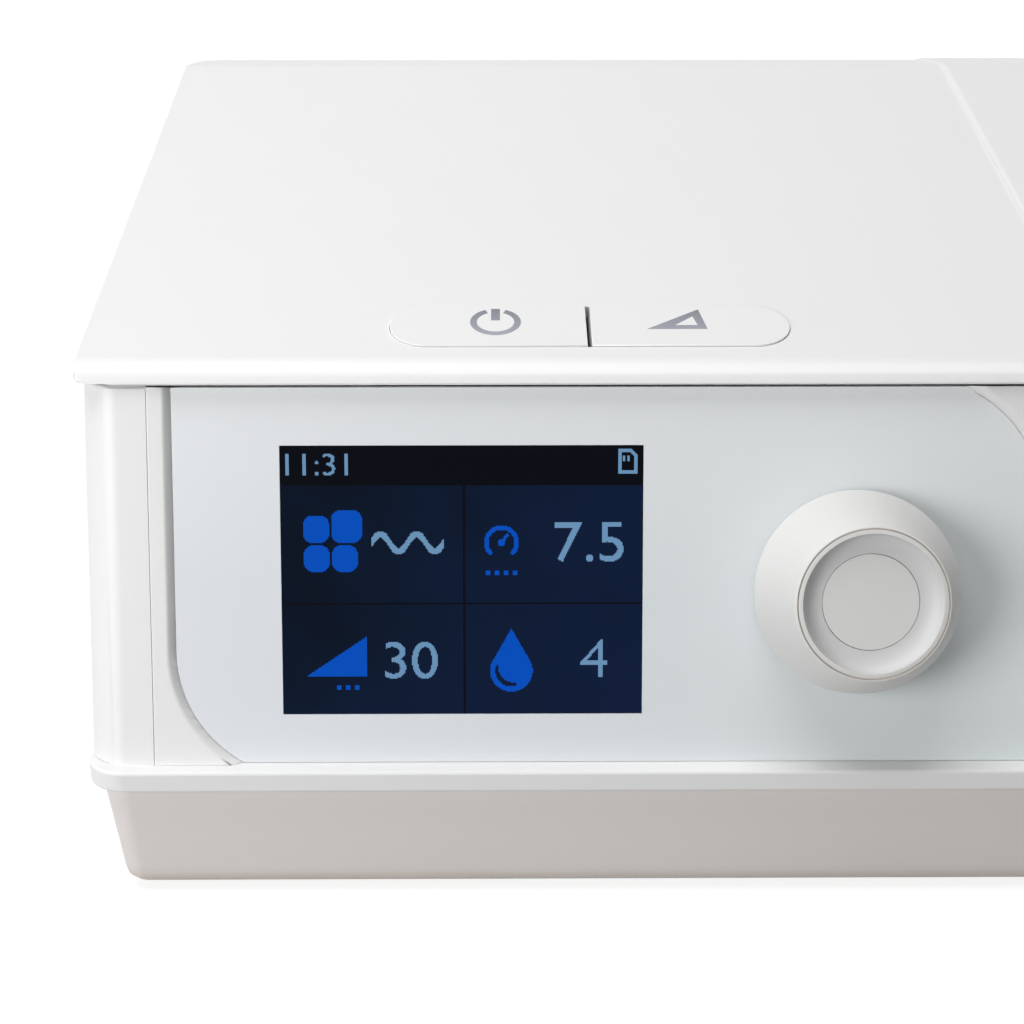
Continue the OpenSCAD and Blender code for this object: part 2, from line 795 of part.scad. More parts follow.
module upper_housing() {
  wall_top = cover_t + lip_h + seam;
  inner_n = frame_proud - wall;
  color([0.94, 0.94, 0.93]) placed() difference() {
    union() {
      difference() {
        housing_block(base_h, wall_top);
        rounded_case(-side_x + wall, dock_in,
                     wall_outline(inner_n, base_h - over, -case_back, case_back - wall),
                     inner_n, case_back - wall, corner_r - wall, 0, 0, rear_r - wall);
      }
      intersection() {
        housing_block(base_h, wall_top);
        for (p = posts) housing_post(p);
      }
      intersection() {
        housing_block(base_h, cover_t);
        for (i = [1:3]) translate([posts[i][0], posts[i][1], base_h])
          cylinder(h = 3 * screen_z, r = post_r - bite - 2 * gap);
      }
      intersection() {
        housing_block(base_h, wall_top);
        on_front() block([-seam_u - wall, -screen_z, ledge_n], [-seam_u, screen_z, frame_proud - bite]);
      }
    }
    on_front() block([-seam_u, -screen_z, frame_n], [dock_x - screen_x + over, screen_z, screen_z]);
    for (p = posts) translate([p[0], p[1], 0]) cylinder(h = base_h + screw_bore, r = screw_r + fit);
    for (y = dock_air_y) bar_x(dock_in - over, dock_x + over, y, duct_z, duct_r);
    bar_y(case_back - wall - over, case_back + over, outlet_x, duct_z, duct_r);
    bar_y(case_back - wall - over, case_back + over, inlet_x, inlet_z, inlet_rim_r + fit);
    block([filter_x - cover_w / 2 - gap, case_back - wall - over, cover_low - gap],
          [filter_x + cover_w / 2 + gap, case_back + over, cover_high + gap]);
    bar_x(filter_x - cover_w / 2 - gap - filter_pin_l, filter_x + cover_w / 2 + gap + filter_pin_l,
          filter_axis[0], filter_axis[1], filter_pin_r + fit);
    block([-side_x - over, card_y - card_w / 2 - gap, card_z - card_t / 2 - gap],
          [-side_x + wall + over, card_y + card_w / 2 + gap, card_z + card_t / 2 + gap]);
    translate([-side_x - card_w / 2 + scoop_d, card_y, card_z - scoop_h / 2])
      cylinder(h = scoop_h, r = card_w / 2);
  }
  color([0.94, 0.94, 0.93]) placed() intersection() {
    housing_block(base_h, wall_top);
    on_front() block([-seam_u - bite, -screen_z, ledge_n], [-seam_u + ledge_w, frame_v - over, frame_n]);
  }
}

// Outline of the front panel, grown by a distance: a leaf with two round corners
module leaf(grow) {
  plan(-panel_left - grow, panel_right + grow, -panel_v - grow, panel_v + grow,
       [panel_r + grow, 0, panel_r + grow, 0]);
}

module front_bezel() {
  color([0.95, 0.95, 0.94]) placed() difference() {
    union() {
      intersection() {
        on_front() block([-seam_u + gap / 2, -screen_z, frame_n], [dock_x - screen_x, frame_v, frame_proud]);
        block([-case_w, -case_back, base_h], [case_w, case_back, 2 * case_back]);
      }
      for (p = pcb_screws) on_front(p[0], p[1], board_n) cylinder(h = frame_n - board_n + bite, r = boss_r);
    }
    on_front(0, 0, panel_back) linear_extrude(panel_t + frame_proud + over) leaf(0);
    on_front() hull() {
      linear_extrude(hair) leaf(0);
      translate([0, 0, frame_proud]) linear_extrude(hair) leaf(bevel_w);
    }
    on_front() block([-module_w / 2 - gap, -module_h / 2 - gap, frame_n - over],
                     [module_w / 2 + gap, module_h / 2 + gap, over]);
    on_front() block([knob_u - encoder_w / 2 - gap, -knob_down - encoder_w / 2 - gap, frame_n - over],
                     [knob_u + encoder_w / 2 + gap, -knob_down + encoder_w / 2 + gap, over]);
    for (p = pcb_screws) on_front(p[0], p[1], board_n - over)
      cylinder(h = board_screw_l, r = board_screw_r + fit);
  }
}

module front_panel() {
  color([0.84, 0.87, 0.89]) placed() difference() {
    intersection() {
      on_front(0, 0, panel_back) linear_extrude(panel_t) leaf(-bite / 2);
      on_front() block([-screen_w, -screen_z, panel_back], [2 * panel_right, frame_v - bite / 2, 0]);
      block([-case_w, -case_back, base_h + bite / 2], [case_w, case_back, 2 * case_back]);
    }
    on_front() block([-screen_w / 2 - screen_gap, -screen_h / 2 - screen_gap, panel_back - over],
                     [screen_w / 2 + screen_gap, screen_h / 2 + screen_gap, over]);
    on_front(knob_u, -knob_down, panel_back - over) cylinder(h = panel_t + 2 * over, r = bushing_r + gap);
  }
}

module lcd_screen() {
  color([0.06, 0.08, 0.14]) placed()
    on_front() block([-screen_w / 2, -screen_h / 2, panel_back], [screen_w / 2, screen_h / 2, -hair]);
}

module lcd_module() {
  color([0.55, 0.57, 0.58]) placed() {
    on_front() block([-module_w / 2, -module_h / 2, module_n], [module_w / 2, module_h / 2, panel_back]);
    for (p = module_legs) on_front(p[0], p[1], board_n)
      cylinder(h = module_n - board_n + bite, r = board_screw_r + boss_t);
  }
}

module control_board() {
  color([0.1, 0.4, 0.25]) placed() difference() {
    on_front() block([pcb_u[0], pcb_v[0], board_back_n], [pcb_u[1], pcb_v[1], board_n]);
    for (p = pcb_screws) on_front(p[0], p[1], board_back_n - over)
      cylinder(h = board_t + 2 * over, r = board_screw_r + fit);
  }
}

// A small pan-head screw that points along Z from the underside of its head
module board_screw() {
  translate([0, 0, -board_head_t]) cylinder(h = board_head_t, r = board_head_r);
  translate([0, 0, -hair]) cylinder(h = board_screw_l, r = board_screw_r);
}

module board_screws() {
  color([0.7, 0.7, 0.72]) placed() {
    for (p = pcb_screws) on_front(p[0], p[1], board_back_n) board_screw();
    for (p = standoffs) translate([p[0], p[1], board_top]) rotate([180, 0, 0]) board_screw();
    for (p = key_bosses) on_top(p[0], p[1], switch_n - board_t) board_screw();
  }
}

// Frame on the knob's axis, with the front panel at zero
module on_knob() {
  on_front(knob_u, -knob_down, 0) children();
}

module encoder_body() {
  color([0.75, 0.76, 0.77]) placed() on_knob() difference() {
    union() {
      block([-encoder_w / 2, -encoder_w / 2, encoder_n], [encoder_w / 2, encoder_w / 2, panel_back - bite]);
      translate([0, 0, panel_back - over]) cylinder(h = bushing_n - panel_back + over, r = bushing_r);
    }
    translate([0, 0, slider_base - slider_room])
      cylinder(h = slider_t + slider_room + gap, r = slider_r + fit);
    translate([0, 0, slider_base]) cylinder(h = knob_h, r = shaft_r + fit);
  }
}

module encoder_slider() {
  color([0.2, 0.2, 0.2]) placed() on_knob() translate([0, 0, slider_base])
    tube(slider_t, slider_r, shaft_r + fit);
}

module encoder_shaft() {
  color([0.8, 0.8, 0.82]) placed() on_knob() translate([0, 0, slider_base])
    cylinder(h = shaft_top - slider_base, r = shaft_r);
}

// The knob's outer radius at part t of the way from its widest place to its front edge
function knob_side(t) = [knob_r - (knob_r - knob_front_r) * (0.3 * t + 0.7 * t * t),
                         knob_wide_h + (knob_h - knob_wide_h) * t];

module knob_body() {
  side_steps = 12;
  dish_steps = 6;
  dish_n = knob_h - dish_depth;
  dish_r = knob_front_r - knob_rim - knob_lip - groove_w;
  color([0.93, 0.93, 0.92]) placed() on_knob() rotate_extrude($fn = 128) polygon(concat(
    [[knob_hub_r, knob_gap + over], [knob_hub_r, dish_n - 3 * knob_wall],
     [knob_front_r - 1.5 * knob_wall, dish_n - 2 * knob_wall], [knob_r - 1.5 * knob_wall, knob_wide_h],
     [knob_r - knob_wall, knob_gap], [knob_r - over, knob_gap],
     [knob_r - over / 4, (knob_gap + knob_wide_h) / 2]],
    [for (i = [0:side_steps]) knob_side(i / side_steps)],
    [[knob_front_r - knob_lip, knob_lip_h], [knob_front_r - knob_lip, knob_h - groove_d],
     [knob_front_r - knob_lip - groove_w, knob_h - groove_d],
     [knob_front_r - knob_lip - groove_w, knob_h]],
    [for (i = [0:dish_steps]) [cap_r + (dish_r - cap_r) * cos(90 * i / dish_steps),
                               knob_h - dish_depth * sin(90 * i / dish_steps)]],
    [[cap_r, dish_n - knob_wall], [shaft_r + fit, dish_n - knob_wall], [shaft_r + fit, knob_gap + over]]));
}

module knob_cap() {
  color([0.9, 0.9, 0.88]) placed() on_knob() translate([0, 0, knob_h - dish_depth - knob_wall])
    cylinder(h = knob_wall, r = cap_r - fit, $fn = 128);
}

// Plan of the keys' opening, grown by a distance: a slot with round ends
module key_plan(grow) {
  end_r = keys_w / 2 + grow;
  translate([key_x[0] + keys_w / 2, keys_s]) circle(end_r);
  translate([key_x[2] - keys_w / 2, keys_s]) circle(end_r);
  translate([key_x[0] + keys_w / 2, keys_s - end_r]) square([key_x[2] - key_x[0] - keys_w, 2 * end_r]);
}

// One key between x0 and x1, with its rim under the cover and its stem
module key(x0, x1, stem_x) {
  intersection() {
    union() {
      on_top(0, 0, key_low) linear_extrude(key_proud - key_low) key_plan(0);
      on_top(0, 0, key_low) linear_extrude(rim_n - key_low) key_plan(key_rim);
    }
    on_top() block([x0, 0, key_low], [x1, 2 * keys_s + keys_w, key_proud]);
  }
  on_top(stem_x, keys_s, stem_n) cylinder(h = key_low - stem_n + bite, r = stem_r);
}

module plunger(stem_x) {
  color([0.2, 0.2, 0.2]) placed() on_top(stem_x, keys_s, stem_n - plunger_l)
    cylinder(h = plunger_l, r = plunger_r);
}

module power_button() {
  color([0.95, 0.95, 0.95]) placed() key(key_x[0] - key_rim - over, key_x[1] - key_gap, stems[0]);
}

module ramp_button() {
  color([0.95, 0.95, 0.95]) placed() key(key_x[1] + key_gap, key_x[2] + key_rim + over, stems[1]);
}

module power_plunger() {
  plunger(stems[0]);
}

module ramp_plunger() {
  plunger(stems[1]);
}

module button_switches() {
  color([0.6, 0.6, 0.6]) placed() for (x = stems) difference() {
    on_top(x, keys_s) block([-switch_w / 2, -switch_w / 2, switch_n],
                            [switch_w / 2, switch_w / 2, switch_n + switch_h]);
    on_top(x, keys_s, stem_n - plunger_l - key_travel - bite)
      cylinder(h = switch_h + over, r = plunger_r + fit);
  }
}

module button_board() {
  color([0.1, 0.4, 0.25]) placed() difference() {
    on_top() block([keyboard_x[0], keyboard_s[0], switch_n - board_t],
                   [keyboard_x[1], keyboard_s[1], switch_n]);
    for (p = key_bosses) on_top(p[0], p[1], switch_n - board_t - over)
      cylinder(h = board_t + 2 * over, r = board_screw_r + fit);
  }
}

// A layer under the cover, inset from its edge
module cover_layer(inset, high, low) {
  n = cover_proud - inset;
  rear = case_back + cover_over - inset;
  rounded_case(-side_x - cover_over + inset, cover_x - inset, layer_outline(n, rear, high, low), n, rear,
               corner_r + cover_over - inset, 0, 0, rear_r + cover_over - inset);
}

module top_cover() {
  left = -side_x - cover_over;
  color([0.96, 0.96, 0.96]) placed() difference() {
    union() {
      rounded_case(left, cover_x, cover_outline(0), cover_proud, case_back + cover_over,
                   cover_corner_r, 0, 0, rear_r + cover_over);
      rounded_case(crease_x, cover_x, cover_outline(crease_h), cover_proud, case_back + cover_over,
                   0, 0, 0, 0);
      difference() {
        cover_layer(lip_inset, cover_t - bite, cover_t + lip_h);
        cover_layer(lip_inset + wall, cover_t - 2 * bite, cover_t + 2 * lip_h);
      }
      for (p = key_bosses) on_top(p[0], p[1], switch_n)
        cylinder(h = -cover_t - switch_n + bite, r = key_boss_r);
    }
    on_top(0, 0, -cover_t - over) linear_extrude(cover_t + 2 * over) key_plan(key_gap);
    for (p = key_bosses) on_top(p[0], p[1], switch_n - over)
      cylinder(h = board_screw_l, r = board_screw_r + fit);
  }
}

module ribbon_cables() {
  face_n = board_back_n - strip_t / 2;
  display = [front_pt(pcb_v[0] + strip_in, face_n), front_pt(pcb_v[0] + strip_end, face_n - 2 * strip_t),
             [board_y[0] + strip_in, board_top + 2 * strip_t],
             [board_y[0] + strip_in + strip_flat, board_top + strip_t / 2]];
  key_start = cover_pt + (keyboard_s[0] + strip_end) * uphill
    + (strip_t / 2 - switch_n + board_t) * downward;
  key_end = front_pt(pcb_v[1] - strip_end, face_n);
  keys = [key_start, (key_start + key_end) / 2 + [strip_bow, 0], key_end];
  color([0.85, 0.85, 0.8]) placed() {
    strip(screen_x - strip_w / 2, screen_x + strip_w / 2, display, strip_t);
    strip(key_x[1] - key_strip_w / 2, key_x[1] + key_strip_w / 2, keys, strip_t);
  }
}

module main_board() {
  color([0.1, 0.4, 0.25]) placed() difference() {
    block([board_x[0], board_y[0], board_z], [board_x[1], board_y[1], board_top]);
    for (p = standoffs) translate([p[0], p[1], 0]) cylinder(h = base_h, r = board_screw_r + fit);
    for (p = box_feet) translate([p[0], p[1], 0]) cylinder(h = base_h, r = post_r + boss_t);
  }
}

// The chips, capacitors, relay, connectors and sounder on the main board
module board_components() {
  room = box_z[0] - board_top;
  mid_y = (board_y[0] + board_y[1]) / 2;
  mid_x = (board_x[0] + board_x[1]) / 2;
  color([0.12, 0.12, 0.13]) placed() {
    translate([mid_x - chip_w, mid_y, board_top]) cube([chip_w, chip_w, room / 8]);
    translate([mid_x + chip_w, mid_y, board_top]) cube([driver_w, driver_l, room / 8]);
    translate([mid_x - 2 * chip_w - driver_w, mid_y + driver_l, board_top])
      cube([driver_l, driver_w, room / 2]);
    for (i = [-1:1]) translate([board_x[1] - 2 * tank_r, mid_y + tank_step * i, board_top])
      cylinder(h = room * tank_share, r = tank_r);
    translate([board_x[1] - 2 * chip_w, mid_y + chip_w / 2, board_top])
      cube([driver_w, 2 * driver_l, room / 3]);
    translate([blower_x - plug_w / 2, board_y[0] + plug_in, board_top])
      cube([plug_w, plug_t, room / 2]);
    translate([board_x[1] - 2 * chip_w, board_y[0] + chip_w, board_top])
      tube(sounder_h, sounder_r, sounder_hole_r);
  }
}

module dc_inlet() {
  face = case_back - wall;
  color([0.1, 0.1, 0.1]) placed() {
    difference() {
      union() {
        block([inlet_x - inlet_body / 2, face - inlet_body, inlet_z - inlet_body / 2],
              [inlet_x + inlet_body / 2, face, inlet_z + inlet_body / 2]);
        bar_y(face - over, case_back + inlet_rim_out, inlet_x, inlet_z, inlet_rim_r);
      }
      bar_y(case_back - inlet_depth, case_back + over, inlet_x, inlet_z, inlet_r);
    }
    bar_y(case_back - inlet_depth - bite, case_back - over, inlet_x, inlet_z, inlet_pin_r);
  }
}

module card_board() {
  color([0.1, 0.4, 0.25]) placed()
    block([-side_x + card_board_in, card_y - card_w / 2 - card_board_in, card_z - socket_t / 2 - board_t],
          [card_x + card_l + card_board_in, card_y + card_w / 2 + card_board_in, card_z - socket_t / 2]);
}

module card_socket() {
  side = card_w / 2 + card_play;
  color([0.7, 0.71, 0.72]) placed() difference() {
    block([-side_x + card_board_in, card_y - side - socket_side, card_z - socket_t / 2],
          [card_x + card_l + socket_past, card_y + side + socket_side, card_z + socket_t / 2]);
    block([-side_x, card_y - side, card_z - card_t / 2 - card_play],
          [card_x + card_l + card_play, card_y + side, card_z + card_t / 2 + card_play]);
  }
}

module memory_card() {
  color([0.15, 0.2, 0.45]) placed() translate([0, 0, card_z - card_t / 2]) linear_extrude(card_t)
    polygon([[card_x, card_y - card_w / 2], [card_x + card_l, card_y - card_w / 2],
             [card_x + card_l, card_y + card_w / 2 - card_cut],
             [card_x + card_l - card_cut, card_y + card_w / 2],
             [card_x, card_y + card_w / 2]]);
}

module muffler_box() {
  color([0.35, 0.36, 0.38]) placed() {
    difference() {
      block([box_x[0], box_y[0], box_z[0]], [box_x[1], box_y[1], box_z[1] - box_lid_t]);
      block([box_x[0] + box_t, box_y[0] + box_t, box_z[0] + box_t],
            [box_x[1] - box_t, box_y[1] - box_t, box_z[1]]);
      bar_x(box_x[1] - box_t - over, box_x[1] + over, scroll_out_y, duct_z, duct_r + duct_t + gap);
      block([filter_x - filter_w / 2 + filter_seat, box_y[1] - box_t - over,
             filter_z - filter_h / 2 + filter_seat],
            [filter_x + filter_w / 2 - filter_seat, box_y[1] + over,
             filter_z + filter_h / 2 - filter_seat]);
      block([blower_x - lead_w / 2 - gap, box_y[0] - over, lead_z - lead_t / 2 - gap],
            [blower_x + lead_w / 2 + gap, box_y[0] + box_t + over, lead_z + lead_t / 2 + gap]);
    }
    for (p = mounts) translate([p[0], p[1], box_z[0] + box_t - bite])
      cylinder(h = scroll_z - mount_h - box_z[0] - box_t + bite, r = mount_post_r);
  }
}

module muffler_lid() {
  color([0.35, 0.36, 0.38]) placed()
    block([box_x[0], box_y[0], box_z[1] - box_lid_t], [box_x[1], box_y[1], box_z[1]]);
}

module muffler_foam() {
  color([0.2, 0.2, 0.22]) placed() difference() {
    block([box_x[0] + box_t, box_y[0] + box_t, box_z[0] + box_t],
          [box_x[1] - box_t, box_y[1] - box_t, box_z[0] + box_t + foam_h]);
    for (p = mounts) translate([p[0], p[1], 0]) cylinder(h = case_back, r = mount_post_r + gap);
  }
}

module air_filter() {
  color([0.75, 0.77, 0.8]) placed()
    block([filter_x - filter_w / 2, box_y[1], filter_z - filter_h / 2],
          [filter_x + filter_w / 2, box_y[1] + filter_t - bite, filter_z + filter_h / 2]);
}

module filter_cover() {
  pitch = (cover_high - filter_axis[1] - filter_rim - over) / slot_count;
  color([0.94, 0.94, 0.93]) placed() {
    difference() {
      union() {
        block([filter_x - cover_w / 2, case_back - filter_cover_t, filter_axis[1]],
              [filter_x + cover_w / 2, case_back, cover_high]);
        bar_x(filter_x - cover_w / 2, filter_x + cover_w / 2, filter_axis[0], filter_axis[1], barrel_r);
        bar_x(filter_x - cover_w / 2 - filter_pin_l, filter_x + cover_w / 2 + filter_pin_l,
              filter_axis[0], filter_axis[1], filter_pin_r);
      }
      for (i = [0:slot_count - 1])
        translate([filter_x, case_back, filter_axis[1] + filter_rim + pitch * (i + 0.5)])
          block([filter_rim + over - filter_w / 2, -2 * filter_cover_t, -slot_h / 2],
                [filter_w / 2 - filter_rim - over, over, slot_h / 2]);
    }
  }
}

// The blower's whole housing, which its two halves are cut from
module blower_shell() {
  top = scroll_z + scroll_h;
  difference() {
    union() {
      translate([blower_x, blower_y, scroll_z]) cylinder(h = scroll_h, r = scroll_r);
      bar_x(blower_x, duct_x, scroll_out_y, duct_z, duct_r + duct_t);
      translate([blower_x, blower_y, scroll_z]) cylinder(h = motor_top - scroll_z, r = motor_r);
    }
    translate([blower_x, blower_y, scroll_z + scroll_t])
      cylinder(h = scroll_h - 2 * scroll_t, r = scroll_r - scroll_t);
    bar_x(blower_x, duct_x + over, scroll_out_y, duct_z, duct_r);
    translate([blower_x, blower_y, scroll_z - over]) cylinder(h = scroll_h / 2, r = intake_r);
    translate([blower_x, blower_y, top]) cylinder(h = motor_h - scroll_t, r = motor_r - scroll_t);
    translate([blower_x, blower_y, top - scroll_t - over]) cylinder(h = 3 * over, r = bearing_r);
    translate([blower_x, blower_y, motor_top - scroll_t - over])
      cylinder(h = scroll_t + 2 * over, r = rotor_shaft_r + gap);
  }
  translate([blower_x, blower_y, bearing_low]) tube(bearing_t, hub_r, bearing_r + fit);
  translate([blower_x, blower_y, bearing_high]) tube(bearing_t + bite, hub_r, bearing_r + fit);
}

module blower_lower_housing() {
  color([0.82, 0.83, 0.84]) placed() intersection() {
    blower_shell();
    block([-side_x, 0, 0], [side_x, case_back, duct_z]);
  }
}

module blower_upper_housing() {
  color([0.82, 0.83, 0.84]) placed() intersection() {
    blower_shell();
    block([-side_x, 0, duct_z], [side_x, case_back, case_back]);
  }
}

module blower_mounts() {
  color([0.2, 0.2, 0.2]) placed() for (p = mounts)
    translate([p[0], p[1], scroll_z - mount_h]) cylinder(h = mount_h, r = mount_r);
}

module motor_stator() {
  slots = 6;
  slot_w = 2;
  slot_d = 3.5;
  color([0.7, 0.4, 0.2]) placed() translate([blower_x, blower_y, stator_z]) difference() {
    tube(stator_t, motor_r - scroll_t - fit, stator_bore);
    for (i = [1:slots]) rotate([0, 0, 360 * i / slots])
      block([stator_bore - over, -slot_w / 2, -over], [stator_bore + slot_d, slot_w / 2, stator_t + over]);
  }
}

module motor_bearings() {
  color([0.75, 0.76, 0.78]) placed() for (z = [bearing_low, bearing_high])
    translate([blower_x, blower_y, z]) tube(bearing_t, bearing_r, rotor_shaft_r + fit);
}

module rotor_shaft() {
  color([0.8, 0.8, 0.82]) placed() translate([blower_x, blower_y, blade_low])
    cylinder(h = motor_top - gap - blade_low, r = rotor_shaft_r);
}

module rotor_magnet() {
  color([0.3, 0.3, 0.32]) placed() translate([blower_x, blower_y, stator_z + bite])
    tube(magnet_t - 2 * bite, magnet_r, rotor_shaft_r + hair);
}

module impeller() {
  color([0.9, 0.9, 0.9]) placed() translate([blower_x, blower_y, blade_low]) difference() {
    union() {
      cylinder(h = hub_top - blade_low, r = hub_r);
      translate([0, 0, blade_h]) cylinder(h = blade_disc_t, r = impeller_r);
      for (i = [1:blade_count])
        rotate([0, 0, 360 * i / blade_count]) translate([impeller_r - blade_l * cos(blade_sweep), 0, 0])
          rotate([0, 0, -blade_sweep])
            block([0, -blade_t / 2, 0], [blade_l - scroll_t, blade_t / 2, blade_h + bite]);
    }
    translate([0, 0, -over]) cylinder(h = scroll_h, r = rotor_shaft_r + hair);
  }
}

module wire_leads() {
  start_y = blower_y - motor_r - lead_t / 2;
  color([0.5, 0.1, 0.1]) placed() strip(blower_x - lead_w / 2, blower_x + lead_w / 2,
    [[start_y, lead_z], [lead_y, lead_z], [lead_y, board_top + lead_t / 2]], lead_t);
}

module blower_boot() {
  color([0.2, 0.2, 0.2]) placed()
    tube_x(box_x[1] + bite, box_x[1] + boot_l, scroll_out_y, duct_z,
           duct_r + duct_t + boot_t, duct_r + duct_t + fit);
}

module outlet_duct() {
  color([0.85, 0.86, 0.87]) placed()
    tube_x(duct_x, dock_in, scroll_out_y, duct_z, duct_r + duct_t, duct_r);
}

module flow_sensor() {
  color([0.1, 0.1, 0.12]) placed() difference() {
    block([sensor_x, scroll_out_y - sensor_w / 2, duct_z + duct_r],
          [sensor_x + sensor_l, scroll_out_y + sensor_w / 2, duct_z + duct_r + duct_t + sensor_h]);
    bar_x(sensor_x - over, sensor_x + sensor_l + over, scroll_out_y, duct_z, duct_r + duct_t + fit);
  }
}

module return_duct() {
  color([0.85, 0.86, 0.87]) placed() {
    tube_x(outlet_x + bend_r, dock_in, return_y, duct_z, duct_r + duct_t, duct_r);
    translate([outlet_x + bend_r, return_y + bend_r, duct_z]) rotate([0, 0, 180])
      rotate_extrude(angle = 90) translate([bend_r, 0]) difference() {
        circle(duct_r + duct_t);
        circle(duct_r);
      }
    translate([outlet_x, return_y + bend_r, duct_z]) rotate([-90, 0, 0])
      tube(case_back - wall - return_y - bend_r, duct_r + duct_t, duct_r);
  }
}

module dock_seals() {
  color([0.3, 0.3, 0.32]) placed() for (y = dock_air_y)
    tube_x(dock_x, dock_x + seal_t, y, duct_z, duct_r + seal_w, duct_r);
}

module outlet_port() {
  color([0.8, 0.81, 0.82]) placed() difference() {
    union() {
      bar_y(case_back, case_back + outlet_flange_t, outlet_x, duct_z, outlet_r + 2);
      bar_y(case_back, outlet_end_y, outlet_x, duct_z, outlet_r);
    }
    bar_y(case_back - over, outlet_end_y + over, outlet_x, duct_z, duct_r);
  }
}

module heater_plate() {
  color([0.78, 0.79, 0.8]) placed() translate([tub_mid[0], tub_mid[1], plate_low]) {
    cylinder(h = plate_rim_t, r = plate_r + plate_rim, $fn = 128);
    cylinder(h = plate_z - plate_low, r = plate_r, $fn = 128);
  }
}

module heater_element() {
  color([0.6, 0.35, 0.15]) placed() translate([tub_mid[0], tub_mid[1], plate_low - element_t])
    tube(element_t, element_r, element_r / 2);
}

module heater_springs() {
  color([0.7, 0.7, 0.72]) placed() for (p = spring_places)
    translate([p[0], p[1], spring_low]) tube(plate_low - spring_low, spring_r, spring_r - spring_t);
}

// Side view of the tub's block from height low to height high, with its front at distance n
function tub_outline(n, low, high, rear) =
  [front_at(low, n), front_at(high, n), [rear, high], [rear, low]];

// A block of the tub, inset from its outer walls, with its upright corners rounded
module tub_block(inset, low, high) {
  n = frame_proud - inset;
  rounded_case(tub_x + inset, side_x - inset, tub_outline(n, low, high, case_back - inset),
               n, case_back - inset, 0, max(corner_r - inset, 0), rear_r - inset, 0);
}

module tub_body() {
  mid_y = tub_mid[1];
  color([0.45, 0.5, 0.55, 0.5]) placed() difference() {
    union() {
      difference() {
        tub_block(0, tub_z, tub_split);
        difference() {
          tub_block(tub_wall, tub_z + tub_floor, tub_split + over);
          for (y = rail_y)
            block([0, y - rail_w - gap, 0], [case_w, y + rail_w + gap, base_h + rail_h + gap + tub_wall / 2]);
          block([side_x - grip_d - tub_wall, mid_y - grip_l / 2 - tub_wall, grip_z - tub_wall],
                [side_x, mid_y + grip_l / 2 + tub_wall, grip_z + grip_h + tub_wall]);
        }
      }
      for (x = lid_knuckles)
        bar_x(x + knuckle_l + gap, x + 2 * knuckle_l + gap, hinge_pt[0], hinge_pt[1], knuckle_r);
    }
    for (y = rail_y)
      block([tub_x - over, y - rail_w / 2 - gap, 0],
            [side_x - rail_end + gap, y + rail_w / 2 + gap, base_h + rail_h + gap]);
    block([side_x - grip_d, mid_y - grip_l / 2, grip_z],
          [side_x + over, mid_y + grip_l / 2, grip_z + grip_h]);
    translate([tub_mid[0], tub_mid[1], 0])
      cylinder(h = tub_z + tub_floor + over, r = tub_plate_r + fit, $fn = 128);
    for (y = dock_air_y) bar_x(tub_x - over, tub_x + tub_wall + over, y, duct_z, duct_r);
    for (x = lid_knuckles) {
      bar_x(x - gap, x + knuckle_l + gap, hinge_pt[0], hinge_pt[1], knuckle_r + gap);
      bar_x(x, x + 2 * knuckle_l + gap + over, hinge_pt[0], hinge_pt[1], hinge_pin_r + fit);
    }
  }
}

module tub_base_plate() {
  color([0.8, 0.81, 0.82]) placed() translate([tub_mid[0], tub_mid[1], tub_z]) {
    cylinder(h = tub_floor, r = tub_plate_r, $fn = 128);
    translate([0, 0, tub_floor]) cylinder(h = tub_plate_t, r = tub_plate_r + tub_plate_rim, $fn = 128);
  }
}

module tub_air_guides() {
  color([0.6, 0.65, 0.7, 0.6]) placed() for (y = dock_air_y)
    tube_x(tub_x + tub_wall, tub_x + tub_wall + guide_l, y, duct_z, duct_r + guide_t, duct_r);
}

module tub_lid() {
  n = frame_proud;
  inner = frame_proud - tub_wall;
  color([0.95, 0.95, 0.95]) placed() difference() {
    union() {
      rounded_case(tub_x, side_x + cover_over, cover_outline(crease_h), cover_proud, case_back + cover_over,
                   0, cover_corner_r, rear_r + cover_over, 0);
      difference() {
        rounded_case(tub_x, side_x, wall_outline(n, lid_z, cover_t - bite, case_back), n, case_back,
                     0, corner_r, rear_r, 0);
        rounded_case(tub_x + tub_wall, side_x - tub_wall,
                     wall_outline(inner, lid_z + flange_h, cover_t - 2 * bite, case_back - tub_wall), inner,
                     case_back - tub_wall, 0, corner_r - tub_wall, rear_r - tub_wall, 0);
        tub_block(tub_wall + flange_in, lid_z - over, lid_z + flange_h + over);
      }
      for (x = lid_knuckles) bar_x(x, x + knuckle_l, hinge_pt[0], hinge_pt[1], knuckle_r);
      intersection() {
        on_front() block([tub_mid[0] - screen_x - tab_w / 2, 0, 0],
                         [tub_mid[0] - screen_x + tab_w / 2, cover_v, cover_proud + tab_out]);
        block([0, -case_back, lid_z], [case_w, case_back, top_z(cover_pt[0], cover_t)]);
      }
    }
    for (x = lid_knuckles) {
      bar_x(x + knuckle_l, x + 2 * knuckle_l + 2 * gap, hinge_pt[0], hinge_pt[1], knuckle_r + gap);
      bar_x(x - over, x + knuckle_l + over, hinge_pt[0], hinge_pt[1], hinge_pin_r + fit);
    }
  }
}

module lid_seal() {
  inset = tub_wall + gap;
  color([0.75, 0.77, 0.8]) placed() difference() {
    tub_block(inset, lid_z - lid_seal_h, lid_z);
    tub_block(inset + lid_seal_w, lid_z - 2 * lid_seal_h, lid_z + over);
  }
}

module tub_hinge_pins() {
  color([0.7, 0.7, 0.72]) placed() for (x = lid_knuckles)
    bar_x(x, x + 2 * knuckle_l + gap, hinge_pt[0], hinge_pt[1], hinge_pin_r);
}

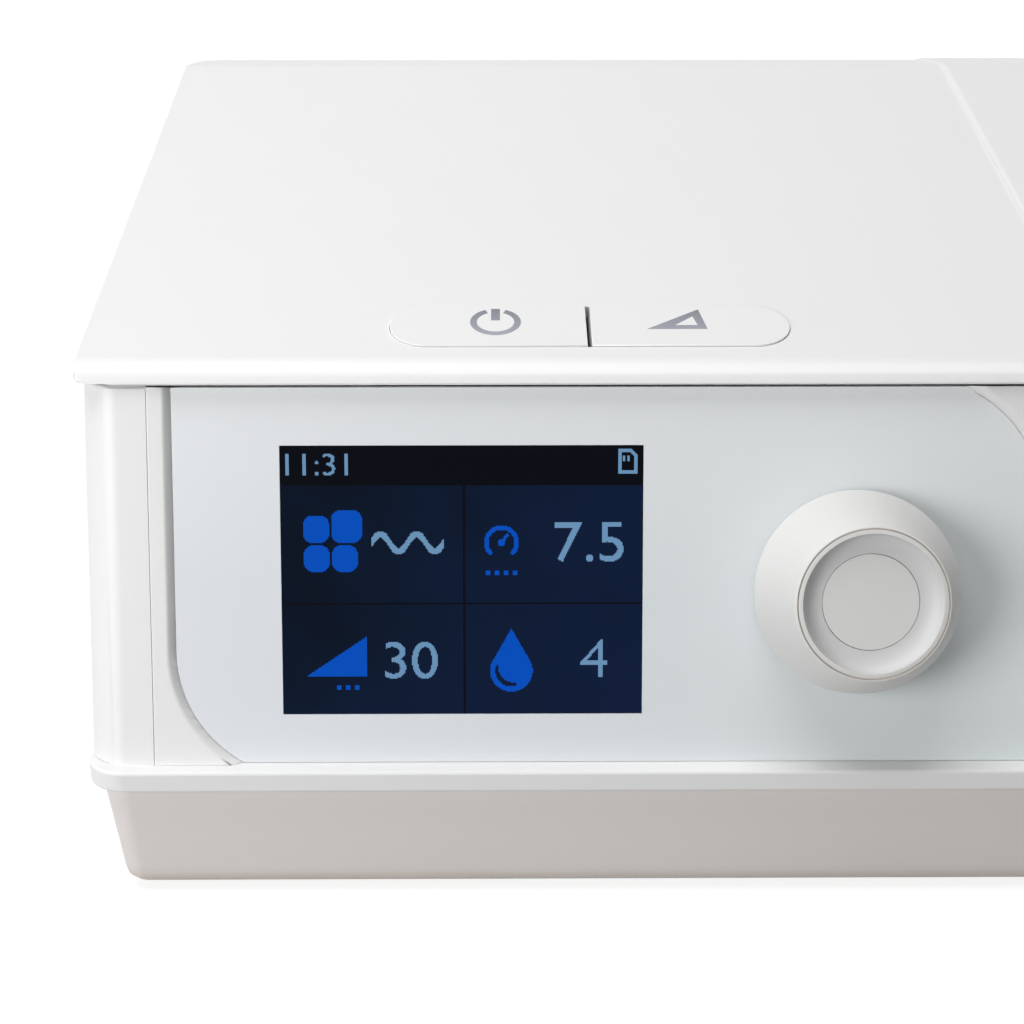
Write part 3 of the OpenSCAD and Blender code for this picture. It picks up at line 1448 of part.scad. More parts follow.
bottom_case();
inner_chassis();
dock_deck();
rubber_feet();
case_screws();
upper_housing();
front_bezel();
front_panel();
lcd_screen();
lcd_module();
top_cover();
control_board();
board_screws();
encoder_body();
encoder_slider();
encoder_shaft();
knob_body();
knob_cap();
power_button();
power_plunger();
ramp_button();
ramp_plunger();
button_switches();
button_board();
ribbon_cables();
main_board();
board_components();
dc_inlet();
card_board();
card_socket();
memory_card();
muffler_box();
muffler_lid();
muffler_foam();
air_filter();
filter_cover();
blower_lower_housing();
blower_upper_housing();
blower_mounts();
motor_stator();
motor_bearings();
rotor_shaft();
rotor_magnet();
impeller();
wire_leads();
blower_boot();
outlet_duct();
flow_sensor();
return_duct();
dock_seals();
outlet_port();
heater_plate();
heater_element();
heater_springs();
tub_body();
tub_base_plate();
tub_air_guides();
tub_lid();
lid_seal();
tub_hinge_pins();
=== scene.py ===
"""Looks of a bedside breathing-therapy machine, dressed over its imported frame.

Everything is in metres in the machine's own frame: +X to the user's right, +Y to the back, +Z up.
"""
import json
import math

import bmesh
import bpy
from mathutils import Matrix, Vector
from mathutils.bvhtree import BVHTree


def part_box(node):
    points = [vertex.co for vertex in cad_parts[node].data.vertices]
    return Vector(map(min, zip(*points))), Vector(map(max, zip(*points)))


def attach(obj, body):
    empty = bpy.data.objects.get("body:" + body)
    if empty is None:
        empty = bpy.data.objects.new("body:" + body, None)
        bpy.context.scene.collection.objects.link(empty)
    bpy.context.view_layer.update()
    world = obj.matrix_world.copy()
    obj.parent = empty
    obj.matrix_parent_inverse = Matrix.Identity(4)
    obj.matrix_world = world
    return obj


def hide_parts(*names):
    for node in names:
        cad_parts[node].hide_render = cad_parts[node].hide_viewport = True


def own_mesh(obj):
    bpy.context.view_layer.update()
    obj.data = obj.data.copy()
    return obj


MM = 0.001
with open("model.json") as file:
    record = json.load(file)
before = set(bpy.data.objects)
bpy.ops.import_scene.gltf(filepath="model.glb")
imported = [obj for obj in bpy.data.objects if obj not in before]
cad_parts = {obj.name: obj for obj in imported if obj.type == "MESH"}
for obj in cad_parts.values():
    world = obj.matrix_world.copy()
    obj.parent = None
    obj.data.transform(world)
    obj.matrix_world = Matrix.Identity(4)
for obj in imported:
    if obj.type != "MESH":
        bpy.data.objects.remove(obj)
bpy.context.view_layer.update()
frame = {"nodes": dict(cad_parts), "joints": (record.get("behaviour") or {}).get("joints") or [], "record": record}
nodes = frame["nodes"]
body_of = {node: body for body, names in frame["record"]["behaviour"]["bodies"].items() for node in names}
slot_of = {part["node"]: part["material_slot"] for part in frame["record"]["subparts"]}
joints = {joint["name"]: joint for joint in frame["joints"]}

# Places on the machine, in millimetres from the screen's middle
KNOB_U = 62.5
KNOB_V = -1.5
KNOB_R = 16.2
KNOB_FRONT_R = 11.83
KNOB_WIDE_H = 3.0
KNOB_H = 15.2
CAP_R = 7.5
DISH_DEPTH = 2.06
DISH_R = KNOB_FRONT_R - 1.09
GROOVE_R = (11.36, 11.66)
LIP_IN = 0.22
GROOVE_W = 0.2
SCREEN_W = 57.6
SCREEN_H = 43.2
SEAM_U = -49.45
FRAME_V = 30.5
COVER_V = 33.88
COVER_PROUD = 2.0
CREASE_U = 100.3
CREASE_W = 1.2
CREASE_SOFT = 0.4
KEY_PROUD = 0.3
KEY_SPLIT_U = 20.5
FLANGE_LOW = 20.75

# How far the visible edges move to leave the fine seams of the real case, in millimetres
SEAM_CLOSE = 0.13
TOP_CLOSE = 0.4
KEY_GROW = 0.16
KEY_PART = 0.12
KEY_UNDER = 2.2

# Where the outer edges of the case begin, in metres
TRAY_X, TRAY_FRONT, TRAY_BACK = 0.135, -0.073, 0.066
SHELL_LEFT, SHELL_BACK = -0.14, 0.069
COVER_SIDE = 0.1415
TUB_LOW, TUB_HIGH, TUB_RIGHT = 0.0265, 0.0795, 0.1435

# The screen's picture: its width in pixels, then its bar, cells and lines as shares of its sides
COLUMNS = 320
SCREEN_BAR = 0.146
SCREEN_CELL_X = 0.506
SCREEN_CELL_Y = 0.585
SCREEN_LINE = 0.0035

# Directions: across, up and out of the front, and up and out of the top
ACROSS = Vector((1, 0, 0))
FRONT_OUT = Vector(joints["knob_turn"]["axis"]).normalized()
FRONT_UP = FRONT_OUT.cross(ACROSS)
TOP_OUT = -Vector(joints["power_key_press"]["axis"]).normalized()
TOP_UP = TOP_OUT.cross(ACROSS)
SCREEN_MIDDLE = Vector(joints["knob_turn"]["pos_m"]) - (KNOB_U * ACROSS + KNOB_V * FRONT_UP) * MM


def front(u, v, n=0.0):
    """A point by its millimetres right of the screen's middle, up the front panel and out of it."""
    return SCREEN_MIDDLE + (u * ACROSS + v * FRONT_UP + n * FRONT_OUT) * MM


COVER_EDGE = front(0, COVER_V, COVER_PROUD)


def top(u, s, n=0.0):
    """A point by its millimetres right of the screen's middle, up the sloping top and out of it."""
    return COVER_EDGE + (u * ACROSS + s * TOP_UP + n * TOP_OUT) * MM


# ---------------------------------------------------------------- shader maths


class Value:
    """A socket in a node tree. Python's operators add Math nodes to it."""

    def __init__(self, nodes_of, socket):
        self.nodes_of = nodes_of
        self.socket = socket

    def math(self, operation, *others):
        inputs = dict(enumerate((self, *others)))
        return self.nodes_of.node("ShaderNodeMath", {"operation": operation}, inputs)

    def __add__(self, other):
        return self.math("ADD", other)

    def __sub__(self, other):
        return self.math("SUBTRACT", other)

    def __mul__(self, other):
        return self.math("MULTIPLY", other)

    def __truediv__(self, other):
        return self.math("DIVIDE", other)

    def __lt__(self, other):
        return self.math("LESS_THAN", other)

    def __gt__(self, other):
        return self.math("GREATER_THAN", other)

    def __radd__(self, other):
        return self.math("ADD", other)

    def __rmul__(self, other):
        return self.math("MULTIPLY", other)

    def __rsub__(self, other):
        return (self * -1.0) + other


class Tree:
    """A node tree under construction, whose nodes all come from one method."""

    def __init__(self, tree):
        self.tree = tree

    def node(self, kind, settings=None, inputs=None, output=0):
        """Adds a node, sets it up, feeds its sockets and gives one of its outputs."""
        made = self.tree.nodes.new(kind)
        for name, value in (settings or {}).items():
            if name == "stops":
                while len(made.color_ramp.elements) < len(value):
                    made.color_ramp.elements.new(0.5)
                for element, (position, color) in zip(made.color_ramp.elements, value):
                    element.position = position
                    element.color = (*color, 1)
            else:
                setattr(made, name, value)
        for name, value in (inputs or {}).items():
            self.feed(made.inputs[name], value)
        return Value(self, made.outputs[output]) if made.outputs else made

    def feed(self, socket, value):
        if isinstance(value, Value):
            self.tree.links.new(value.socket, socket)
        elif hasattr(socket.default_value, "__len__") and len(socket.default_value) == 4:
            socket.default_value = (*value, 1) if len(value) == 3 else value
        else:
            socket.default_value = value


class Finish(Tree):
    """One material under construction, with a Principled shader at its end."""

    def __init__(self, name, color, roughness, **constants):
        self.material = bpy.data.materials.new(name)
        self.material.use_nodes = True
        super().__init__(self.material.node_tree)
        self.shader = self.tree.nodes["Principled BSDF"]
        self.set("Base Color", color)
        self.set("Roughness", roughness)
        for socket, value in constants.items():
            self.set(socket.replace("_", " "), value)

    def set(self, name, value):
        self.feed(self.shader.inputs[name], value)

    def place(self):
        """The point's own place, in metres."""
        return self.node("ShaderNodeTexCoord", output="Object")

    def parts(self, vector):
        """The three numbers of a vector."""
        split = self.node("ShaderNodeSeparateXYZ", inputs={0: vector})
        return [Value(self, split.socket.node.outputs[i]) for i in range(3)]

    def vector(self, operation, first, second=None, scale=None):
        """A Vector Math node. Its value comes out of a length or a dot product, and else its vector."""
        inputs = {0: first}
        if second is not None:
            inputs[1] = second
        if scale is not None:
            inputs[3] = scale
        output = 1 if operation in ("LENGTH", "DOT_PRODUCT") else 0
        return self.node("ShaderNodeVectorMath", {"operation": operation}, inputs, output)

    def noise(self, size, detail=2.0, stretch=(1, 1, 1)):
        """Noise from 0 to 1 whose patches are about size millimetres across."""
        scaled = self.node("ShaderNodeMapping", inputs={"Vector": self.place(), "Scale": stretch})
        inputs = {"Vector": scaled, "Scale": 1 / (size * MM), "Detail": detail}
        return self.node("ShaderNodeTexNoise", {"noise_dimensions": "3D"}, inputs)

    def blend(self, factor, first, second):
        """A colour from first to second as factor goes from 0 to 1."""
        settings = {"data_type": "RGBA"}
        inputs = {0: factor, 6: first, 7: second}
        return self.node("ShaderNodeMix", settings, inputs, output=2)

    def bump(self, height, depth, under=None):
        """Raises the surface by height times depth, in millimetres."""
        inputs = {"Height": height, "Distance": depth * MM, "Strength": 1.0}
        if under is not None:
            inputs["Normal"] = under
        return self.node("ShaderNodeBump", inputs=inputs)

    def mottle(self, color, share, size):
        """The colour, a little lighter and darker in soft patches."""
        dark = [c * (1 - share) for c in color]
        light = [min(1.0, c * (1 + share)) for c in color]
        self.set("Base Color", self.blend(self.noise(size), dark, light))


def moulded(name, color, roughness, grain=0.3, depth=0.004, **constants):
    """Injection-moulded plastic: an even colour, a fine spark-eroded grain and slightly wavy gloss."""
    made = Finish(name, color, roughness, **constants)
    made.mottle(color, 0.008, 18)
    made.set("Roughness", roughness + (made.noise(9) - 0.5) * 0.06)
    wave = made.bump(made.noise(30, detail=0), 0.02)
    made.set("Normal", made.bump(made.noise(grain), depth, wave))
    return made


def metal(name, color, roughness, stretch=(1, 1, 1), depth=0.002):
    """Bright metal with fine drawing or turning marks along one direction."""
    made = Finish(name, color, roughness, Metallic=1.0)
    marks = made.noise(0.5, 3, stretch)
    made.set("Roughness", roughness + (marks - 0.5) * 0.12)
    made.set("Normal", made.bump(marks, depth))
    return made


def rings_about(made, centre, pitch):
    """A wave from 0 to 1 in rings round an upright axis."""
    x, y, _ = made.parts(made.place())
    dx = x - centre[0]
    dy = y - centre[1]
    radius = (dx * dx + dy * dy).math("SQRT")
    return (radius * (2 * math.pi / (pitch * MM))).math("SINE") * 0.5 + 0.5


def turned_plate():
    """The heater's plate: aluminium faced on a lathe."""
    low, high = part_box("heater_plate")
    made = Finish("turned_aluminium", (0.74, 0.75, 0.76), 0.3, Metallic=1.0)
    made.set("Normal", made.bump(rings_about(made, (low + high) / 2, 0.7), 0.006))
    made.set("Roughness", 0.26 + made.noise(6) * 0.12)
    return made


def brushed_disc():
    """The tub's heated floor: stainless steel, brushed along X."""
    return metal("brushed_stainless", (0.68, 0.69, 0.70), 0.28, (0.05, 1, 1))


def circuit_board():
    """Green lacquer over copper tracks that run along the board in steps."""
    made = Finish("green_lacquer", (0.02, 0.16, 0.07), 0.35, Coat_Weight=0.3)
    cells = made.node("ShaderNodeTexBrick", {"offset": 0.35, "squash": 1.0}, {
        "Vector": made.place(), "Color1": (0, 0, 0), "Color2": (0, 0, 0), "Mortar": (1, 1, 1),
        "Scale": 1.0, "Mortar Size": 0.25 * MM, "Brick Width": 7 * MM, "Row Height": 2.4 * MM})
    made.set("Base Color", made.blend(cells, (0.015, 0.14, 0.06), (0.06, 0.26, 0.11)))
    made.set("Normal", made.bump(cells, 0.03))
    return made


def flat_cable():
    """A flat cable whose conductors show as fine lines along it."""
    made = Finish("flat_cable", (0.74, 0.73, 0.68), 0.4)
    x, _, _ = made.parts(made.place())
    lines = (x * (2 * math.pi / (1.0 * MM))).math("SINE")
    made.set("Base Color", made.blend(lines > 0.4, (0.76, 0.75, 0.70), (0.45, 0.44, 0.42)))
    made.set("Normal", made.bump(lines, 0.05))
    return made


def windings():
    """Enamelled copper wire, wound in fine turns."""
    made = Finish("copper_windings", (0.62, 0.28, 0.11), 0.32, Metallic=0.8)
    _, _, z = made.parts(made.place())
    turns = (z * (2 * math.pi / (0.6 * MM))).math("SINE")
    made.set("Base Color", made.blend(turns * 0.5 + 0.5, (0.35, 0.14, 0.05), (0.70, 0.33, 0.14)))
    made.set("Normal", made.bump(turns, 0.12))
    return made


def foam():
    """Open-cell foam: dark pores all over."""
    made = Finish("open_cell_foam", (0.10, 0.10, 0.11), 0.95)
    pores = made.node("ShaderNodeTexVoronoi", {}, {"Vector": made.place(), "Scale": 1 / (1.4 * MM)})
    made.set("Base Color", made.blend(pores, (0.03, 0.03, 0.035), (0.14, 0.14, 0.15)))
    made.set("Normal", made.bump(pores, 0.5))
    return made


def felt():
    """Filter felt with a woven backing."""
    made = Finish("filter_felt", (0.82, 0.84, 0.86), 0.9, Sheen_Weight=0.3)
    x, _, z = made.parts(made.place())
    weave = (x * (2 * math.pi / (0.9 * MM))).math("SINE") * (z * (2 * math.pi / (0.9 * MM))).math("SINE")
    fibres = made.noise(0.35, 4)
    made.set("Base Color", made.blend(weave * 0.25 + fibres, (0.62, 0.65, 0.68), (0.88, 0.90, 0.92)))
    made.set("Normal", made.bump(weave * 0.4 + fibres, 0.25))
    return made


def amber_film():
    """The heater's film, with its resistance track showing through."""
    low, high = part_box("heater_element")
    made = Finish("amber_film", (0.45, 0.20, 0.06), 0.3, Coat_Weight=0.4)
    track = rings_about(made, (low + high) / 2, 3.0)
    made.set("Base Color", made.blend(track > 0.6, (0.48, 0.22, 0.06), (0.20, 0.09, 0.05)))
    made.set("Normal", made.bump(track, 0.03))
    return made


def clear_plastic(name, color, transmission):
    """Clear moulded plastic, a little smoked."""
    made = Finish(name, color, 0.06, Transmission_Weight=transmission, IOR=1.46)
    made.set("Roughness", 0.05 + made.noise(12) * 0.04)
    made.set("Normal", made.bump(made.noise(25, detail=0), 0.03))
    return made


def rubber(name, color, roughness=0.75):
    """Moulded rubber: dull, a little uneven and finely rough."""
    made = Finish(name, color, roughness)
    made.mottle(color, 0.05, 3)
    made.set("Normal", made.bump(made.noise(0.4), 0.02))
    return made


def knob_finish():
    """Satin knob plastic: warmer down its skirt, greyer in its dish by painted shade, beige in the groove inside
    its lip.
    """
    white = (0.75, 0.75, 0.737)
    made = moulded("knob_white", white, 0.5, 0.25, 0.005)
    middle = front(KNOB_U, KNOB_V)
    from_middle = made.vector("SUBTRACT", made.place(), middle)
    height = made.vector("DOT_PRODUCT", from_middle, FRONT_OUT)
    level = made.vector("SCALE", FRONT_OUT, scale=height)
    radius = made.vector("LENGTH", made.vector("SUBTRACT", from_middle, level))
    at_front = (height < (KNOB_H + 0.02) * MM) * (height > (KNOB_H - 1.2) * MM)
    groove = (radius > GROOVE_R[0] * MM) * (radius < GROOVE_R[1] * MM) * at_front
    skirt = (1.0 - height / (KNOB_H * MM)) * 0.12
    body = made.blend(skirt.math("MAXIMUM", 0.0), white, (0.75, 0.70, 0.66))
    # Painted shade: the dish ring is greyed to stand in for the shade in the knob's hollow.
    dish_shade_mask = (radius < DISH_R * MM) * (radius > CAP_R * MM) * (height > (KNOB_H - 2.5) * MM)
    body = made.blend(dish_shade_mask, body, (0.66, 0.665, 0.66))
    made.set("Base Color", made.blend(groove, body, (0.66, 0.60, 0.54)))
    return made


def base_finish():
    """The base's plastic: white on the flange, and below it painted warm light bounced from the table and painted
    shade deepening to the foot.
    """
    # Painted light: the warm tint stands in for light bounced up from the table onto the downward-facing base.
    painted_bounce_warm = (0.80, 0.755, 0.73)
    made = moulded("base_white_painted_shade", (0.80, 0.775, 0.755), 0.5, 0.35, 0.008)
    _, _, z = made.parts(made.place())
    height = z / (FLANGE_LOW * MM)
    # Painted shade: the base gets darker and warmer toward its foot, where it faces down away from the lamps.
    low = made.blend(height, (0.66, 0.55, 0.46), painted_bounce_warm)
    painted_foot_shade = made.blend((height * 4.0).math("MINIMUM", 1.0), low, painted_bounce_warm)
    made.set("Base Color", made.blend(height > 1.0, painted_foot_shade, (0.86, 0.86, 0.858)))
    return made


def front_glass():
    """The front panel: polished clear sheet over a pale backing, with painted light making it bluer and lighter to
    the left, darker to the right and lighter to the top.
    """
    left_end, width = -46, 138
    made = Finish("front_glass", (0.80, 0.83, 0.86), 0.32, Coat_Weight=0.6, Coat_Roughness=0.08)
    x, _, z = made.parts(made.place())
    across = (x - front(left_end, 0).x) / (width * MM)
    # Painted light: the tone falls off from left to right as the light from the left-hand lamp does.
    painted_light_tone = made.blend(across, (0.775, 0.80, 0.845), (0.735, 0.79, 0.79))
    # Painted light: the top of the panel is lightened against the shade cast by the cover's nose.
    up = (z - SCREEN_MIDDLE.z) / (FRAME_V * MM * FRONT_UP.z)
    painted_light_tone = made.blend(up.math("MAXIMUM", 0.0), painted_light_tone, (0.86, 0.885, 0.90))
    made.set("Base Color", made.blend(made.noise(30) * 0.02, painted_light_tone, (0.6, 0.63, 0.66)))
    made.set("Normal", made.bump(made.noise(40, detail=0), 0.01))
    return made


def screen_picture():
    """The lit screen: a black bar over four dark blue cells, parted by fine black lines."""
    made = Finish("screen_picture", (0.002, 0.002, 0.003), 0.25, Specular_IOR_Level=0.03)
    x, _, z = made.parts(made.place())
    corner = front(-SCREEN_W / 2, SCREEN_H / 2)
    across = (x - corner.x) / (SCREEN_W * MM)
    down = (corner.z - z) / (SCREEN_H * MM * FRONT_UP.z)
    glow = across * 0.55 + down * 0.25 + (made.noise(14, detail=1) - 0.5) * 0.5
    blues = [
        (0.0, (0.0006, 0.0040, 0.0110)), (0.45, (0.0016, 0.0085, 0.0300)), (0.9, (0.0030, 0.0105, 0.0430))]
    cells = made.node("ShaderNodeValToRGB", {"stops": blues}, {0: glow})
    upright = (across - SCREEN_CELL_X).math("ABSOLUTE") < SCREEN_LINE
    level = (down - SCREEN_CELL_Y).math("ABSOLUTE") < SCREEN_LINE
    below = down > SCREEN_BAR
    lines = (upright + level) * below
    picture = made.blend(lines.math("MINIMUM", 1.0), cells, (0.0016, 0.0020, 0.0050))
    picture = made.blend(below, (0.0005, 0.0012, 0.0035), picture)
    made.set("Emission Color", picture)
    made.set("Emission Strength", 1.0)
    return made


def lit(name, color):
    """A lit mark on the screen, whose pixels show as a very fine grid."""
    made = Finish(name, (0.0, 0.0, 0.0), 0.4, Specular_IOR_Level=0.03)
    x, _, z = made.parts(made.place())
    pitch = 2 * math.pi / (SCREEN_W / COLUMNS * MM)
    grid = (x * pitch).math("SINE") * (z * pitch / FRONT_UP.z).math("SINE")
    made.set("Emission Color", made.blend(grid * 0.5 + 0.5, [c * 0.93 for c in color], color))
    made.set("Emission Strength", 1.0)
    return made


def printed(name, color):
    """Ink printed on a key, lighter at its lower edge and darker toward its upper edge, with a ragged change
    between.
    """
    foot, rise = 9, 9
    made = Finish(name, color, 0.5)
    _, y, _ = made.parts(made.place())
    up = ((y - top(0, foot).y) / (rise * MM * TOP_UP.y) + (made.noise(1.5) - 0.5) * 0.1).math("MINIMUM", 1.0)
    made.set("Base Color", made.blend(up.math("MAXIMUM", 0.0), color, [c * 0.5 for c in color]))
    made.set("Normal", made.bump(made.noise(0.3), 0.003))
    return made


def make_finishes():
    """Every finish by the record's slot name, and those of the marks that are added here."""
    made = {
        "white_shell": moulded("satin_white", (0.87, 0.87, 0.87), 0.42),
        "white_frame": moulded("frame_white", (0.86, 0.86, 0.855), 0.36),
        "warm_base": base_finish(),
        "front_glass": front_glass(),
        "screen_glass": screen_picture(),
        "knob_white": knob_finish(),
        "key_white": moulded("key_white", (0.88, 0.88, 0.88), 0.38, 0.25, 0.003),
        "smoked_tub": clear_plastic("smoked_clear", (0.66, 0.72, 0.78), 0.9),
        "clear_part": clear_plastic("clear_guides", (0.90, 0.93, 0.95), 0.92),
        "grey_plastic": moulded("grey_plastic", (0.16, 0.165, 0.18), 0.55, 0.4, 0.01),
        "light_plastic": moulded("light_grey_plastic", (0.72, 0.73, 0.74), 0.45, 0.4, 0.008),
        "black_plastic": moulded("black_plastic", (0.025, 0.025, 0.028), 0.45, 0.3, 0.008),
        "rubber_grey": rubber("dark_rubber", (0.045, 0.045, 0.048)),
        "seal_silicone": rubber("seal_silicone", (0.55, 0.58, 0.61), 0.5),
        "foam_dark": foam(),
        "filter_cloth": felt(),
        "circuit_green": circuit_board(),
        "steel_part": metal("bright_steel", (0.62, 0.62, 0.64), 0.3),
        "screen_can": metal("pressed_tin", (0.62, 0.63, 0.65), 0.4, (1, 1, 0.2)),
        "heater_metal": turned_plate(),
        "stainless_disc": brushed_disc(),
        "copper_wound": windings(),
        "magnet_dark": metal("ground_magnet", (0.22, 0.22, 0.23), 0.35, (1, 1, 0.1)),
        "element_foil": amber_film(),
        "cable_flat": flat_cable(),
        "lead_dark": rubber("sleeved_leads", (0.20, 0.03, 0.03), 0.55),
        "card_blue": moulded("card_blue", (0.03, 0.06, 0.20), 0.4, 0.3, 0.006),
        "blue_mark": lit("blue_mark", (0.0005, 0.076, 0.50)),
        "pale_mark": lit("pale_mark", (0.145, 0.29, 0.48)),
        "key_ink": printed("key_ink", (0.37, 0.385, 0.445)),
    }
    return {name: finish.material for name, finish in made.items()}


# ---------------------------------------------------------------- making pieces


def settle(piece, node_names, body=None, finish=None, slot=None):
    """Gives a finished piece its body, its finish and the nodes that it stands for."""
    node_names = [node_names] if isinstance(node_names, str) else list(node_names)
    first = node_names[0] if node_names else None
    slot = slot or slot_of.get(first)
    piece.data.materials.clear()
    piece.data.materials.append(finishes[finish or slot])
    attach(piece, body or body_of[first])
    if node_names:
        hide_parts(*node_names)
    return piece


def as_object(name, mesh):
    """A new object in the scene around a mesh, a curve, a lamp or the camera."""
    piece = bpy.data.objects.new(name, mesh)
    bpy.context.scene.collection.objects.link(piece)
    return piece


def baked(piece):
    """The piece with its modifiers worked into its mesh."""
    graph = bpy.context.evaluated_depsgraph_get()
    mesh = bpy.data.meshes.new_from_object(piece.evaluated_get(graph))
    piece.modifiers.clear()
    piece.data = mesh
    return piece


def smooth(mesh, angle=38):
    """Shades a mesh smooth, apart from its edges sharper than the angle."""
    mesh.polygons.foreach_set("use_smooth", [True] * len(mesh.polygons))
    mesh.set_sharp_from_angle(angle=math.radians(angle))


def clean_copy(node):
    """A node's mesh with its doubles merged and its flat faces joined."""
    made = bmesh.new()
    made.from_mesh(nodes[node].data)
    bmesh.ops.remove_doubles(made, verts=made.verts, dist=0.002 * MM)
    bmesh.ops.dissolve_degenerate(made, edges=made.edges, dist=0.002 * MM)
    bmesh.ops.dissolve_limit(made, angle_limit=math.radians(0.4), verts=made.verts, edges=made.edges)
    return made


def rounded(node, name, width, segments=3, angle=32, where=None, shape=None):
    """A copy of a node whose outer edges are rounded by width, in millimetres."""
    made = clean_copy(node)
    if shape:
        shape(made)
    weight = made.edges.layers.float.new("bevel_weight_edge")
    for edge in made.edges:
        if len(edge.link_faces) != 2 or edge.calc_face_angle(0) < math.radians(angle):
            continue
        middle = (edge.verts[0].co + edge.verts[1].co) / 2
        if where is None or where(middle, edge):
            edge[weight] = 1.0
    mesh = bpy.data.meshes.new(name)
    made.to_mesh(mesh)
    made.free()
    smooth(mesh)
    piece = as_object(name, mesh)
    bevel = piece.modifiers.new("edges", "BEVEL")
    bevel.limit_method = "WEIGHT"
    bevel.width = width * MM
    bevel.segments = segments
    bevel.use_clamp_overlap = where is None
    normals = piece.modifiers.new("normals", "WEIGHTED_NORMAL")
    normals.keep_sharp = True
    return settle(baked(piece), node)


def prism(name, outline, height, place):
    """A flat closed mark from an outline with holes, as rings of points in millimetres, raised and placed."""
    made = bmesh.new()
    for ring in outline:
        points = [made.verts.new((x, y, 0)) for x, y in ring]
        for first, second in zip(points, points[1:] + points[:1]):
            made.edges.new((first, second))
    filled = bmesh.ops.triangle_fill(made, use_beauty=True, edges=made.edges, normal=(0, 0, 1))
    faces = [f for f in filled["geom"] if isinstance(f, bmesh.types.BMFace)]
    raised = bmesh.ops.extrude_face_region(made, geom=faces)
    upper = [v for v in raised["geom"] if isinstance(v, bmesh.types.BMVert)]
    bmesh.ops.translate(made, verts=upper, vec=(0, 0, height))
    bmesh.ops.recalc_face_normals(made, faces=made.faces)
    for vertex in made.verts:
        vertex.co = place(*vertex.co)
    mesh = bpy.data.meshes.new(name)
    made.to_mesh(mesh)
    made.free()
    return as_object(name, mesh)


def arc(x, y, r, start, end, steps=24):
    """Points on an arc, in degrees."""
    angles = [math.radians(start + (end - start) * i / steps) for i in range(steps + 1)]
    return [(x + r * math.cos(a), y + r * math.sin(a)) for a in angles]


def lathe(name, profile, turns, place):
    """A closed solid turned from a profile of [radius, height] points."""
    made = bmesh.new()
    rings = []
    for radius, height in profile:
        if radius < 1e-6:
            rings.append([made.verts.new((0, 0, height))])
        else:
            angles = [2 * math.pi * i / turns for i in range(turns)]
            circle = [(radius * math.cos(a), radius * math.sin(a), height) for a in angles]
            rings.append([made.verts.new(point) for point in circle])
    for low, high in zip(rings, rings[1:] + rings[:1]):
        for i in range(turns):
            j = (i + 1) % turns
            corners = [low[i % len(low)], low[j % len(low)], high[j % len(high)], high[i % len(high)]]
            unique = list(dict.fromkeys(corners))
            if len(unique) > 2:
                made.faces.new(unique)
    bmesh.ops.recalc_face_normals(made, faces=made.faces)
    for vertex in made.verts:
        vertex.co = place(*vertex.co)
    mesh = bpy.data.meshes.new(name)
    made.to_mesh(mesh)
    made.free()
    smooth(mesh, 50)
    return as_object(name, mesh)


# ---------------------------------------------------------------- the case


def beyond(point, normal):
    """A test for the edges past a plane through the point."""
    return lambda middle, edge: (middle - point).dot(normal) > 0


def make_case():
    """The case's outer pieces, with their edges rounded as moulded edges are."""
    on_cover = beyond(top(0, 0, -2.5), TOP_OUT)
    on_key = beyond(top(0, 0, 0.1), TOP_OUT)
    rounded("bottom_case", "base_tray", 0.5,
            where=lambda p, e: abs(p.x) > TRAY_X or p.y < TRAY_FRONT or p.y > TRAY_BACK)
    rounded("upper_housing", "main_housing", 0.4, where=lambda p, e: p.x < SHELL_LEFT or p.y > SHELL_BACK)
    rounded("front_bezel", "front_frame", 0.25, where=beyond(front(0, 0, 0.2), FRONT_OUT), shape=narrow_seam)
    rounded("front_panel", "glass_panel", 0.1, where=lambda p, e: False, shape=raise_top)
    rounded("top_cover", "cover_shell", 0.3, where=lambda p, e: p.x < -COVER_SIDE and on_cover(p, e),
            shape=soften_crease)
    rounded("tub_lid", "tub_lid_shell", 0.3, where=lambda p, e: p.x > COVER_SIDE and on_cover(p, e))
    rounded("tub_body", "tub_shell", 0.5,
            where=lambda p, e: p.z < TUB_LOW or p.z > TUB_HIGH or p.x > TUB_RIGHT)
    rounded("filter_cover", "filter_door", 0.25)
    rounded("outlet_port", "hose_port", 0.5)
    for key in ("power", "ramp"):
        rounded(key + "_button", key + "_key_cap", 0.12, where=on_key, shape=grow_key)


def narrow_seam(made):
    """Closes most of the fit gap beside the frame, which moulded parts hide by a lap."""
    edge = front(SEAM_U, 0).x
    for vertex in made.verts:
        if abs(vertex.co.x - edge) < 0.03 * MM:
            vertex.co.x -= SEAM_CLOSE * MM
    raise_top(made)


def raise_top(made):
    """Brings the top edge of the frame or the panel closer to the cover's nose."""
    for vertex in made.verts:
        if (vertex.co - SCREEN_MIDDLE).dot(FRONT_UP) > (FRAME_V - 0.2) * MM:
            vertex.co += TOP_CLOSE * MM * FRONT_UP


def grow_key(made):
    """Closes most of the gap round a key's cap, and opens the one between the two caps."""
    made.normal_update()
    split = top(KEY_SPLIT_U, 0).x
    for vertex in made.verts:
        level = vertex.normal - vertex.normal.dot(TOP_OUT) * TOP_OUT
        if (vertex.co - top(0, 0, -KEY_UNDER)).dot(TOP_OUT) < 0:
            continue
        if abs(vertex.co.x - split) < 0.3 * MM:
            vertex.co.x += math.copysign(KEY_PART * MM, vertex.co.x - split)
            level.x = 0
        if level.length > 0.1:
            vertex.co += level.normalized() * KEY_GROW * MM


